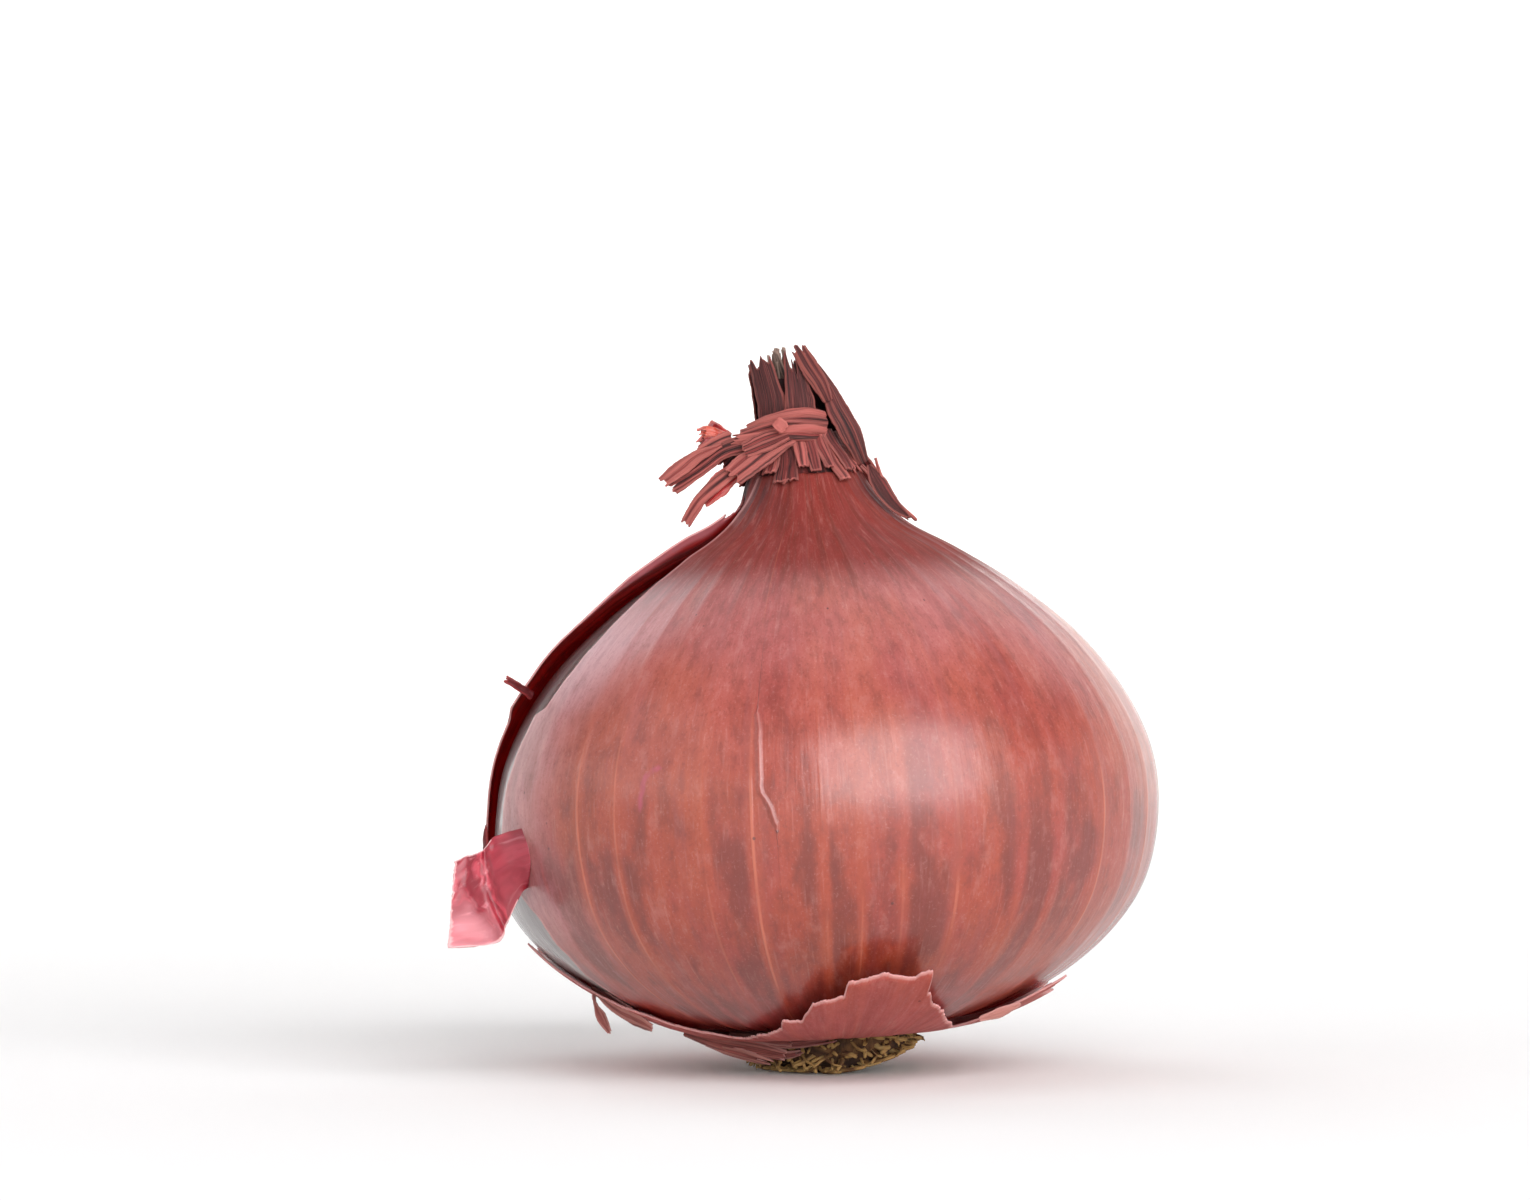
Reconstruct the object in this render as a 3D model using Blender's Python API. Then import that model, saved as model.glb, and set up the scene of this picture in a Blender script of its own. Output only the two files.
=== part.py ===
"""A red onion standing on its root plate: the bulb, its dry skins, its neck and its roots.

Metres, +Z up. The front is -Y and the left is -X. The origin is the middle of the flat spot under the roots.
An azimuth is in degrees round the bulb: 0 at the front, 90 on the right, -90 on the left, 180 at the back.
A share runs along the bulb's outline, from 0 at the root plate to 1 at the neck.
"""

import math
import random

import bmesh
import bpy
from mathutils import Matrix, Vector

# The bulb's outline over its whole outer skin, as radius and height, from the root plate to the neck.
OUTLINE = (
    (0.0092, 0.0050),
    (0.0173, 0.0059),
    (0.0247, 0.0090),
    (0.0308, 0.0134),
    (0.0351, 0.0190),
    (0.0370, 0.0260),
    (0.0368, 0.0330),
    (0.0342, 0.0397),
    (0.0294, 0.0464),
    (0.0230, 0.0521),
    (0.0165, 0.0565),
    (0.0113, 0.0595),
    (0.0080, 0.0627),
    (0.0063, 0.0654),
)
LEAN = math.radians(3.0)  # how far the whole bulb leans to the left
ROUNDNESS_ERROR = 0.006  # how far the bulb is from round, as a share of its radius
WIDE_WAY = 50.0
VEIN_SPACING = 10.0
VEIN_HEIGHT = 0.00012
PLEAT_HEIGHT = 0.00025  # the veins gather into pleats towards the neck
PLEAT_START = 0.6
ROWS = 17  # faces from root to neck on the bulb and its outer skin
BULB_ROWS = 15  # the bulb itself ends this many of those faces up

# Dry skins, thicker than life. A lift is how far a skin's inner face lies outside the outline.
SKIN = 0.0006
BULB_LIFT = -0.00095
OUTER_LIFT = -SKIN

# The outer skin is torn open down the left: its front edge, as share and azimuth, and its back edge.
FRONT_TEAR = (
    (0.00, -54.0),
    (0.12, -62.0),
    (0.30, -62.0),
    (0.38, -69.0),
    (0.46, -68.0),
    (0.55, -62.0),
    (0.64, -57.0),
    (0.77, -54.0),
    (1.00, -52.0),
)
BACK_TEAR = -140.0
FRONT_SEAM = -50.0  # from here on, the skin's columns of faces follow the veins
OUTER_TORN_COLUMNS = 3

# The loose skin wraps the back. Its lower edge, as place from its left edge to its right one and share,
# its left edge, as share, azimuth and how far it stands off, and the lift of the rest, as azimuth and lift.
LOOSE_FOOT = ((0.0, 0.37), (0.2, 0.31), (0.5, 0.25), (1.0, 0.29))
LOOSE_TOP = 0.88
LOOSE_EDGE = (
    (0.25, -88.0, 0.0001),
    (0.37, -86.0, 0.0002),
    (0.49, -83.0, 0.0003),
    (0.56, -79.0, 0.0006),
    (0.63, -74.0, 0.0010),
    (0.72, -67.0, 0.0012),
    (0.80, -60.0, 0.0009),
    (0.88, -57.0, 0.0003),
)
LOOSE_END = -220.0
LOOSE_SEAM = -90.0
LOOSE_TORN_COLUMNS = 4
LOOSE_LIFT = ((LOOSE_END, 0.00048), (-130.0, 0.00048), (-116.0, -0.0005), (0.0, -0.0005))
LOOSE_RIM_WIDTH = 22.0  # the skin lifts off the bulb over this many degrees at its left edge

# The ring of torn skin round the roots: its upper edge, as azimuth, share, lift and how far it stands off.
BASE_FOOT, BASE_FOOT_LIFT = 0.02, 0.00042
BASE_EDGE = (
    (-180.0, 0.17, 0.00042, 0.0003),
    (-140.0, 0.20, 0.00042, 0.0003),
    (-116.0, 0.23, 0.00042, 0.0002),
    (-96.0, 0.27, -0.00040, 0.0002),
    (-84.0, 0.29, -0.00040, 0.0003),
    (-74.0, 0.23, -0.00010, 0.0006),
    (-66.0, 0.19, 0.00042, 0.0009),
    (-50.0, 0.13, 0.00042, 0.0012),
    (-40.0, 0.10, 0.00042, 0.0008),
    (-31.0, 0.08, 0.00042, 0.0008),
    (-20.0, 0.12, 0.00042, 0.0016),
    (-10.0, 0.14, 0.00042, 0.0020),
    (-5.0, 0.17, 0.00042, 0.0024),
    (2.0, 0.195, 0.00042, 0.0028),
    (7.0, 0.220, 0.00042, 0.0030),
    (20.0, 0.218, 0.00042, 0.0030),
    (25.0, 0.16, 0.00042, 0.0024),
    (30.0, 0.09, 0.00042, 0.0010),
    (50.0, 0.09, 0.00042, 0.0),
    (80.0, 0.14, 0.00042, 0.0),
    (110.0, 0.13, 0.00042, 0.0002),
    (140.0, 0.18, 0.00042, 0.0005),
    (180.0, 0.17, 0.00042, 0.0003),
)
BASE_JAG = 0.010

# The curled flap on the lower left, as a curved patch, from where it grows to its free end.
FLAP_ROOT = ((-0.0352, -0.0172, 0.0262), (-0.0346, -0.0180, 0.0232), (-0.0336, -0.0190, 0.0204))
FLAP_MIDDLE = ((-0.0380, -0.0162, 0.0250), (-0.0382, -0.0170, 0.0212), (-0.0362, -0.0190, 0.0174))
FLAP_END = ((-0.0408, -0.0168, 0.0232), (-0.0418, -0.0186, 0.0180), (-0.0398, -0.0200, 0.0144))

# The neck: its middle at equal steps of height, its core, and the dry leaf sheaths round it.
NECK_FOOT, NECK_TOP = 0.0612, 0.0800
NECK_DRIFT = ((-0.0030, 0.0), (-0.0035, 0.0), (-0.0045, 0.0), (-0.0056, 0.0), (-0.0065, 0.0))
CORE_RADII = (0.0048, 0.0048, 0.0043, 0.0035, 0.0027)
CORE_TOP = 0.0765
# Each sheath round the core: azimuths, heights, and how ragged its top is.
SHEATHS = (
    ((-128.0, -12.0), (0.0668, 0.0784), 0.0010),
    ((8.0, 100.0), (0.0668, 0.0799), 0.0014),
    ((112.0, 224.0), (0.0668, 0.0778), 0.0014),
)
SHEATH_SINK = 0.00025
FLUTE = 0.00018
# The skirt of fibre ends that hangs over the top of the outer skin.
SKIRT_OUTLINE = ((0.0030, 0.0698), (0.0050, 0.0698), (0.0067, 0.0660), (0.0030, 0.0660))
SKIRT_FOLDS = 12
SKIRT_FOLD_DEPTH = 0.05
# Each strip: its path, the way its outer face looks along it, its widths, and how much it cups.
STRIPS = (
    # The band that wraps the front and leaves to the left.
    (
        ((-0.0010, -0.0034, 0.0702), (-0.0040, -0.0049, 0.0707), (-0.0076, -0.0044, 0.0703),
         (-0.0104, -0.0036, 0.0693), (-0.0135, -0.0031, 0.0675), (-0.0182, -0.0033, 0.0641)),
        ((0.7, -0.7, 0.0), (0.1, -1.0, 0.0), (-0.5, -0.9, 0.1), (-0.3, -0.9, 0.3), (-0.2, -0.9, 0.4)),
        (0.0034, 0.0040, 0.0036, 0.0028),
        0.05,
    ),
    # The shreds below the band.
    (
        ((-0.0060, -0.0042, 0.0690), (-0.0096, -0.0045, 0.0667),
         (-0.0130, -0.0046, 0.0635), (-0.0164, -0.0054, 0.0604)),
        ((-0.3, -1.0, 0.1), (-0.3, -1.0, 0.3), (-0.4, -0.9, 0.4)),
        (0.0026, 0.0026, 0.0018),
        0.12,
    ),
    (
        ((-0.0044, -0.0040, 0.0694), (-0.0076, -0.0056, 0.0676), (-0.0112, -0.0062, 0.0650)),
        ((-0.1, -1.0, 0.0), (-0.2, -1.0, 0.2), (-0.2, -1.0, 0.3)),
        (0.0030, 0.0032, 0.0026),
        0.08,
    ),
    # The red curl behind the band's end.
    (
        ((-0.0080, 0.0010, 0.0692), (-0.0112, 0.0002, 0.0698), (-0.0146, -0.0008, 0.0690)),
        ((-0.2, -0.8, 0.6), (-0.1, -0.9, 0.4), (0.2, -0.9, 0.3)),
        (0.0030, 0.0036, 0.0026),
        0.25,
    ),
    # The long blade that stands off the right side.
    (
        ((0.0022, -0.0022, 0.0664), (0.0014, -0.0028, 0.0700),
         (-0.0008, -0.0028, 0.0742), (-0.0040, -0.0016, 0.0786)),
        ((0.8, -0.6, 0.1), (0.8, -0.6, 0.3), (0.75, -0.6, 0.4)),
        (0.0032, 0.0034, 0.0026, 0.0018),
        0.12,
    ),
    # The sliver that stands up from the right shoulder.
    (
        ((0.0016, -0.0024, 0.0673), (0.0048, -0.0030, 0.0665),
         (0.0067, -0.0031, 0.0634), (0.0089, -0.0034, 0.0606)),
        ((0.5, -0.8, 0.4), (0.8, -0.5, 0.3), (0.8, -0.4, 0.4)),
        (0.0022, 0.0026, 0.0022, 0.0012),
        0.10,
    ),
    # Three shreds at the back.
    (
        ((-0.0020, 0.0042, 0.0690), (0.0010, 0.0072, 0.0680),
         (0.0040, 0.0112, 0.0645), (0.0056, 0.0140, 0.0612)),
        ((0.2, 0.9, 0.4), (0.2, 0.9, 0.5), (0.2, 0.7, 0.7)),
        (0.0034, 0.0036, 0.0022),
        0.10,
    ),
    (
        ((-0.0070, 0.0034, 0.0700), (-0.0096, 0.0060, 0.0690), (-0.0126, 0.0082, 0.0660)),
        ((-0.5, 0.8, 0.3), (-0.5, 0.8, 0.5), (-0.5, 0.6, 0.6)),
        (0.0030, 0.0030, 0.0020),
        0.12,
    ),
    (
        ((-0.0030, 0.0034, 0.0700), (-0.0044, 0.0064, 0.0712), (-0.0062, 0.0086, 0.0700)),
        ((-0.1, 0.5, 0.9), (-0.2, 0.4, 0.9), (-0.3, 0.7, 0.7)),
        (0.0026, 0.0028, 0.0016),
        0.20,
    ),
)
STRIP_THICKNESS = 0.0007

# The root plate: its outline as radius and height, and the dry root stubs round it.
PLATE_OUTLINE = ((0.0056, 0.0), (0.0072, 0.0009), (0.0084, 0.0022), (0.0086, 0.0036), (0.0082, 0.0050))
# Each round of root stubs: how many, their height, where they start from the middle, and their lengths.
ROOT_ROUNDS = (
    (11, 0.0009, 0.0056, (0.0016, 0.0026)),
    (14, 0.0021, 0.0068, (0.0018, 0.0032)),
    (15, 0.0034, 0.0072, (0.0018, 0.0030)),
)
ROOT_RADIUS = 0.00055
ROOT_SCATTER = 0.00025
ROOT_DROOPS = (0.1, 0.6)

# Colours are red, green and blue in linear light, then roughness.
FINISHES = {
    "bulb": ((0.19, 0.12, 0.14), 0.35),
    "outer_skin": ((0.50, 0.14, 0.10), 0.40),
    "loose_skin": ((0.42, 0.13, 0.12), 0.45),
    "base_skin": ((0.48, 0.17, 0.15), 0.55),
    "curled_flap": ((0.68, 0.12, 0.16), 0.35),
    "neck": ((0.36, 0.08, 0.06), 0.65),
    "roots": ((0.34, 0.22, 0.10), 0.85),
}


def clear_scene():
    for old in list(bpy.data.objects):
        bpy.data.objects.remove(old, do_unlink=True)


def on_spline(points, share):
    """The place at a share from 0 to 1 of a smooth curve through the points, evenly spaced along it."""
    spans = len(points) - 1
    place = min(max(share, 0.0), 1.0) * spans
    first = min(int(place), spans - 1)
    t = place - first
    nearby = [min(max(first + step, 0), spans) for step in (-1, 0, 1, 2)]
    before, start, end, after = (Vector(points[index]) for index in nearby)
    linear = (end - before) * t
    square = (2 * before - 5 * start + 4 * end - after) * t**2
    cube = (3 * start - before - 3 * end + after) * t**3
    return start + (linear + square + cube) / 2


def between(table, key):
    """The other columns of the table where its first column has this key, in proportion between two rows."""
    for lower, upper in zip(table, table[1:]):
        if key <= upper[0]:
            part = min(max((key - lower[0]) / (upper[0] - lower[0]), 0.0), 1.0)
            return [a + (b - a) * part for a, b in zip(lower[1:], upper[1:])]
    return list(table[-1][1:])


def turned(azimuth):
    angle = math.radians(azimuth)
    return Vector((math.sin(angle), -math.cos(angle), 0.0))


def skin_point(azimuth, share, lift):
    """A point this far outside the bulb's outer skin, leaning with the bulb."""
    step = 0.01
    radius, height = on_spline(OUTLINE, share)
    run = (on_spline(OUTLINE, share + step) - on_spline(OUTLINE, share - step)).normalized()
    pleat = VEIN_HEIGHT + (PLEAT_HEIGHT - VEIN_HEIGHT) * max(share - PLEAT_START, 0.0) / (1.0 - PLEAT_START)
    lift += pleat * (0.5 + 0.5 * math.cos(math.radians(360.0 * azimuth / VEIN_SPACING)))
    radius *= 1.0 + ROUNDNESS_ERROR * math.cos(math.radians(2 * azimuth + WIDE_WAY))
    point = turned(azimuth) * (radius + run.y * lift)
    point.z = height - run.x * lift
    return Matrix.Rotation(-LEAN, 3, "Y") @ point


def slab(columns, rows, place):
    """A thin closed solid. place(u, v, side) puts each corner: u and v run from 0 to 1, and side is 1 outside.
    The faces are split alike on both sides, so that thin walls don't cross."""
    made = bmesh.new()
    bmesh.ops.create_grid(made, x_segments=columns, y_segments=rows, size=0.5)
    bmesh.ops.triangulate(made, faces=made.faces[:])
    outer = bmesh.ops.extrude_face_region(made, geom=made.faces[:], use_keep_orig=True)["geom"]
    for corner in outer:
        if isinstance(corner, bmesh.types.BMVert):
            corner.co.z = 1.0
    for corner in made.verts:
        corner.co = place(corner.co.x + 0.5, corner.co.y + 0.5, corner.co.z)
    return made


def ringed(columns, rows, place, looped=False):
    """A closed solid of rings, its ends capped, or the last ring joined to the first.
    place(azimuth, row) puts each corner."""
    made = bmesh.new()
    rings = []
    for row in range(rows + 1):
        corners = [place(360.0 * column / columns - 180.0, row) for column in range(columns)]
        rings.append([made.verts.new(corner) for corner in corners])
    for low, high in zip(rings, rings[1:] + rings[:1] if looped else rings[1:]):
        for column in range(columns):
            after = (column + 1) % columns
            made.faces.new((low[column], low[after], high[after], high[column]))
    if not looped:
        made.faces.new(rings[0])
        made.faces.new(rings[-1])
    bmesh.ops.triangulate(made, faces=made.faces[:])
    return made


def turned_solid(outline, columns):
    """A closed solid of revolution from an outline of radius and height, flat at both ends."""

    def place(azimuth, row):
        radius, height = outline[row]
        return turned(azimuth) * radius + Vector((0, 0, height))

    return ringed(columns, len(outline) - 1, place)


def finish(name):
    colour, roughness = FINISHES[name]
    material = bpy.data.materials.new(name)
    material.use_nodes = True
    shader = material.node_tree.nodes["Principled BSDF"]
    shader.inputs["Base Color"].default_value = (*colour, 1.0)
    shader.inputs["Roughness"].default_value = roughness
    shader.inputs["Metallic"].default_value = 0.0
    return material


def as_object(name, made):
    bmesh.ops.recalc_face_normals(made, faces=made.faces[:])
    if made.calc_volume(signed=True) < 0:
        bmesh.ops.reverse_faces(made, faces=made.faces[:])
    mesh = bpy.data.meshes.new(name)
    made.to_mesh(mesh)
    made.free()
    mesh.shade_smooth()
    mesh.set_sharp_from_angle(angle=math.radians(40))
    piece = bpy.data.objects.new(name, mesh)
    bpy.context.scene.collection.objects.link(piece)
    return piece


def node(name, made):
    piece = as_object(name, made)
    piece.data.materials.append(finish(name))
    return piece


def without_pockets(mesh):
    """Fills the pockets that a union shuts in, by keeping only the mesh's largest separate surface."""
    whole = bmesh.new()
    whole.from_mesh(mesh)
    waiting = set(whole.faces)
    surfaces = []
    while waiting:
        surface = [waiting.pop()]
        for face in surface:
            for neighbour in {other for edge in face.edges for other in edge.link_faces} & waiting:
                waiting.discard(neighbour)
                surface.append(neighbour)
        surfaces.append(surface)
    surfaces.sort(key=len)
    for surface in surfaces[:-1]:
        bmesh.ops.delete(whole, geom=surface, context="FACES")
    return whole


def joined_node(name, trunk, branches):
    """One node from a trunk and the solids sunk into it, by one Boolean union that is applied."""
    piece = as_object(name, trunk)
    grown = bpy.data.collections.new(name + "_branches")
    bpy.context.scene.collection.children.link(grown)
    for index, branch in enumerate(branches):
        limb = as_object(f"{name}_branch_{index}", branch)
        bpy.context.scene.collection.objects.unlink(limb)
        grown.objects.link(limb)
    union = piece.modifiers.new("union", "BOOLEAN")
    union.operation = "UNION"
    union.operand_type = "COLLECTION"
    union.collection = grown
    union.solver = "EXACT"
    bpy.context.view_layer.update()
    graph = bpy.context.evaluated_depsgraph_get()
    whole = without_pockets(bpy.data.meshes.new_from_object(piece.evaluated_get(graph)))
    for limb in [piece, *grown.objects]:
        bpy.data.objects.remove(limb, do_unlink=True)
    bpy.data.collections.remove(grown)
    return whole


def bulb():
    """The fleshy bulb in its tight inner skin, flat where the root plate and the neck meet it."""

    def place(azimuth, row):
        return skin_point(azimuth, row / ROWS, BULB_LIFT)

    return node("bulb", ringed(round(360 / VEIN_SPACING) * 2, BULB_ROWS, place))


def torn_columns(column, torn, edge, seam):
    """A column's azimuth: the first few run from the torn edge to the seam, the others go by half veins."""
    if column < torn:
        return edge + (seam - edge) * column / torn
    return seam + math.copysign(VEIN_SPACING / 2, seam - edge) * (column - torn)


def outer_skin():
    """The copper red skin that wraps the bulb, open down the left where it is torn."""
    columns = OUTER_TORN_COLUMNS + round((360.0 + BACK_TEAR - FRONT_SEAM) / (VEIN_SPACING / 2))

    def place(u, v, side):
        azimuth = torn_columns(round(u * columns), OUTER_TORN_COLUMNS, between(FRONT_TEAR, v)[0], FRONT_SEAM)
        return skin_point(azimuth, v, OUTER_LIFT + side * SKIN)

    return node("outer_skin", slab(columns, ROWS, place))


def loose_skin():
    """The outermost skin, which wraps the back and stands off the bulb along its torn edge on the left."""
    rows = 14
    columns = LOOSE_TORN_COLUMNS + round((LOOSE_SEAM - LOOSE_END) / (VEIN_SPACING / 2))

    def place(u, v, side):
        foot = between(LOOSE_FOOT, u)[0]
        share = foot + v * (LOOSE_TOP - foot)
        front, stand_off = between(LOOSE_EDGE, share)
        azimuth = torn_columns(round(u * columns), LOOSE_TORN_COLUMNS, front, LOOSE_SEAM)
        rim = max(1.0 - (front - azimuth) / LOOSE_RIM_WIDTH, 0.0)
        lift = between(LOOSE_LIFT, azimuth)[0]
        return skin_point(azimuth, share, lift + stand_off * rim**1.5 + side * SKIN)

    return node("loose_skin", slab(columns, rows, place))


def base_skin():
    """The ragged cup of torn skin round the roots, with the flap that stands off the front."""
    columns, rows = 80, 4
    draw = random.Random(11)
    jags = [draw.uniform(-1.0, 1.0) * BASE_JAG for _ in range(columns)]

    def place(azimuth, row):
        side = 0 if row <= rows else 1
        v = (row if side == 0 else 2 * rows + 1 - row) / rows
        edge, lift, stand_off = between(BASE_EDGE, azimuth)
        jag = jags[round((azimuth + 180.0) / 360.0 * columns)]
        share = BASE_FOOT + v * (edge + jag - BASE_FOOT)
        lift = BASE_FOOT_LIFT + (lift - BASE_FOOT_LIFT) * min(v * 2, 1.0)
        return skin_point(azimuth, share, lift + side * SKIN) + turned(azimuth) * stand_off * v**1.4

    return node("base_skin", ringed(columns, 2 * rows + 1, place, looped=True))


def curled_flap():
    """The thin pink flap that curls away from the outer skin's edge on the lower left."""
    columns, rows = 6, 6

    def middle(u, v):
        return on_spline([on_spline(curve, u) for curve in (FLAP_ROOT, FLAP_MIDDLE, FLAP_END)], v)

    def place(u, v, side):
        step = 0.02
        along = middle(u, v + step) - middle(u, v - step)
        sideways = middle(u + step, v) - middle(u - step, v)
        facing = sideways.cross(along).normalized()
        return middle(u, v) - facing * (side - 0.5) * SKIN

    return node("curled_flap", slab(columns, rows, place))


def neck_middle(height):
    share = (height - NECK_FOOT) / (NECK_TOP - NECK_FOOT)
    drift = on_spline(NECK_DRIFT, share)
    return Vector((drift.x, drift.y, height))


def sheath(azimuths, heights, ragged, draw):
    """A fluted piece of dry leaf base standing against the core, with a ragged top."""
    columns, rows = 10, 4
    jags = [draw.uniform(-1.0, 0.3) * ragged for _ in range(columns + 1)]

    def place(u, v, side):
        column = round(u * columns)
        height = heights[0] + v * (heights[1] + jags[column] - heights[0])
        flute = FLUTE * (-1) ** column
        share = (height - NECK_FOOT) / (CORE_TOP - NECK_FOOT)
        radius = on_spline([(value, 0.0) for value in CORE_RADII], share).x - SHEATH_SINK
        azimuth = azimuths[0] + u * (azimuths[1] - azimuths[0])
        return neck_middle(height) + turned(azimuth) * (radius + flute + side * STRIP_THICKNESS)

    return slab(columns, rows, place)


def skirt():
    """The ring of fibre ends at the foot of the neck, over the top of the outer skin."""
    made = turned_solid(SKIRT_OUTLINE, SKIRT_FOLDS * 2)
    for corner in made.verts:
        azimuth = math.atan2(corner.co.y, corner.co.x)
        fold = round(azimuth / math.pi * SKIRT_FOLDS)
        corner.co.xy *= 1.0 + SKIRT_FOLD_DEPTH * (-1) ** fold
        corner.co += neck_middle(corner.co.z) * Vector((1, 1, 0))
    return made


def strip(path, facings, widths, cup):
    """A dry shred along a path, cupped across its width."""
    columns, rows = 3, 7

    def place(u, v, side):
        step = 0.02
        run = (on_spline(path, v + step) - on_spline(path, v - step)).normalized()
        facing = on_spline(facings, v)
        facing = (facing - run * facing.dot(run)).normalized()
        width = on_spline([(value, 0.0) for value in widths], v).x
        across = 2 * u - 1
        sink = cup * width * across**2 - (side - 0.5) * STRIP_THICKNESS
        return on_spline(path, v) + run.cross(facing) * across * width / 2 - facing * sink

    return slab(columns, rows, place)


def neck():
    """The dry neck: a core, the leaf sheaths round it, the skirt of fibre ends and the torn shreds."""
    draw = random.Random(5)
    rows = len(CORE_RADII) - 1
    heights = [NECK_FOOT + (CORE_TOP - NECK_FOOT) * row / rows for row in range(rows + 1)]
    core = turned_solid(list(zip(CORE_RADII, heights)), 14)
    for corner in core.verts:
        corner.co += neck_middle(corner.co.z) * Vector((1, 1, 0))
    branches = [sheath(*row, draw) for row in SHEATHS]
    branches.append(skirt())
    branches.extend(strip(*row) for row in STRIPS)
    return node("neck", joined_node("neck_core", core, branches))


def root_stub(azimuth, height, start, length, droop):
    """A short dry root, thinner at its tip, growing out of the plate and bending down."""
    made = bmesh.new()
    bmesh.ops.create_cone(
        made, cap_ends=True, segments=5, radius1=ROOT_RADIUS, radius2=ROOT_RADIUS * 0.55, depth=1.0
    )
    sides = [edge for edge in made.edges if abs(edge.verts[0].co.z - edge.verts[1].co.z) > 0.5]
    bmesh.ops.subdivide_edges(made, edges=sides, cuts=1)
    bmesh.ops.triangulate(made, faces=made.faces[:])
    for corner in made.verts:
        reach = corner.co.z + 0.5
        middle = turned(azimuth) * (start + length * reach)
        middle.z = height - droop * length * reach**2
        corner.co = middle + turned(azimuth + 90.0) * corner.co.x + Vector((0, 0, corner.co.y))
    return made


def roots():
    """The root plate with its flat underside, and the stubs of dry roots that ring it."""
    draw = random.Random(3)
    plate = turned_solid(PLATE_OUTLINE, 20)
    stubs = []
    for count, height, start, lengths in ROOT_ROUNDS:
        for index in range(count):
            azimuth = 360.0 * (index + draw.uniform(-0.3, 0.3)) / count
            stub_height = height + draw.uniform(-ROOT_SCATTER, ROOT_SCATTER)
            length = draw.uniform(*lengths)
            stubs.append(root_stub(azimuth, stub_height, start, length, draw.uniform(*ROOT_DROOPS)))
    whole = joined_node("root_plate", plate, stubs)
    geometry = whole.verts[:] + whole.edges[:] + whole.faces[:]
    bmesh.ops.bisect_plane(whole, geom=geometry, plane_co=(0, 0, 0), plane_no=(0, 0, -1), clear_outer=True)
    bmesh.ops.holes_fill(whole, edges=whole.edges[:], sides=0)
    return node("roots", whole)


def main():
    clear_scene()
    bulb()
    outer_skin()
    loose_skin()
    base_skin()
    curled_flap()
    neck()
    roots()


main()
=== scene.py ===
"""The looks of a red onion that stands on its root plate, on a pale studio floor.

Metres, +Z up. The front is -Y and the left is -X. The origin is the middle of the flat spot under the roots.
An azimuth is in degrees round the bulb: 0 at the front, 90 on the right, -90 on the left, 180 at the back.
A share runs along the bulb's outline, from 0 at the root plate to 1 at the neck.
A lift is how far a face lies outside that outline, square to it.
"""

import logging
import math
import random
from dataclasses import dataclass, field
from enum import Enum
from typing import Any, Callable, Sequence

import bmesh
import bpy
from mathutils import Matrix, Vector, noise


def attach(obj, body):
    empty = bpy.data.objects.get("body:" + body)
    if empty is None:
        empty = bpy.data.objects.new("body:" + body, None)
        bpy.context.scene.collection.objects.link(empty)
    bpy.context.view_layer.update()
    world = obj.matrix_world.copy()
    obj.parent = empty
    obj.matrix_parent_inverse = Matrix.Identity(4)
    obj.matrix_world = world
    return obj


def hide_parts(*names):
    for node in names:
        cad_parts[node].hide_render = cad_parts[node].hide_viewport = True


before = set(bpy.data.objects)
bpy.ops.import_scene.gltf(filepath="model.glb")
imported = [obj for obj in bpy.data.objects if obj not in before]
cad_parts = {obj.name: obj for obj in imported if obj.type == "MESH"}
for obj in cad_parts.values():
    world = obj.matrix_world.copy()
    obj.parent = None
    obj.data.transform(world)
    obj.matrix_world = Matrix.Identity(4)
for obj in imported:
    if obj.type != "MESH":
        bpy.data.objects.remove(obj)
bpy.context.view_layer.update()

LOG = logging.getLogger("red_onion")
MM = 0.001
BODY = "root"
Table = tuple[tuple[float, ...], ...]


def linear(hex_colour: str) -> tuple[float, float, float, float]:
    """Turns an sRGB hex colour to linear light.

    Args:
        hex_colour: six hex digits, such as "b8685c".

    Returns:
        Red, green, blue and an alpha of 1.
    """
    shares = [int(hex_colour[start:start + 2], 16) / 255 for start in (0, 2, 4)]
    light = [share / 12.92 if share <= 0.04045 else ((share + 0.055) / 1.055) ** 2.4 for share in shares]
    return (*light, 1.0)


def between(table: Sequence[Sequence[float]], key: float) -> list[float]:
    """Reads a table in proportion between two of its rows.

    Args:
        table: rows whose first column rises.
        key: where to read, in the first column's measure.

    Returns:
        The other columns there.
    """
    for lower, upper in zip(table, table[1:]):
        if key <= upper[0]:
            part = min(max((key - lower[0]) / (upper[0] - lower[0]), 0.0), 1.0)
            return [a + (b - a) * part for a, b in zip(lower[1:], upper[1:])]
    return list(table[-1][1:])


def on_spline(points: Sequence[Sequence[float]], share: float) -> Vector:
    """Finds a place on a smooth curve through points.

    Args:
        points: what the curve passes through, at equal shares.
        share: 0 at its start and 1 at its end.

    Returns:
        The point there.
    """
    spans = len(points) - 1
    place = min(max(share, 0.0), 1.0) * spans
    first = min(int(place), spans - 1)
    t = place - first
    before, start, end, after = (Vector(points[min(max(first + step, 0), spans)]) for step in (-1, 0, 1, 2))
    linear_part = (end - before) * t
    square = (2 * before - 5 * start + 4 * end - after) * t**2
    cube = (3 * start - before - 3 * end + after) * t**3
    return start + (linear_part + square + cube) / 2


def smooth(value: float) -> float:
    """A value cut to 0 to 1 and eased at both ends."""
    value = min(max(value, 0.0), 1.0)
    return value * value * (3.0 - 2.0 * value)


def turned(azimuth: float) -> Vector:
    """The level direction that an azimuth points in."""
    angle = math.radians(azimuth)
    return Vector((math.sin(angle), -math.cos(angle), 0.0))


def ripple(x: float, y: float, z: float) -> float:
    """A smooth random value from about -1 to 1 at a place."""
    return noise.noise(Vector((x, y, z)))


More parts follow.
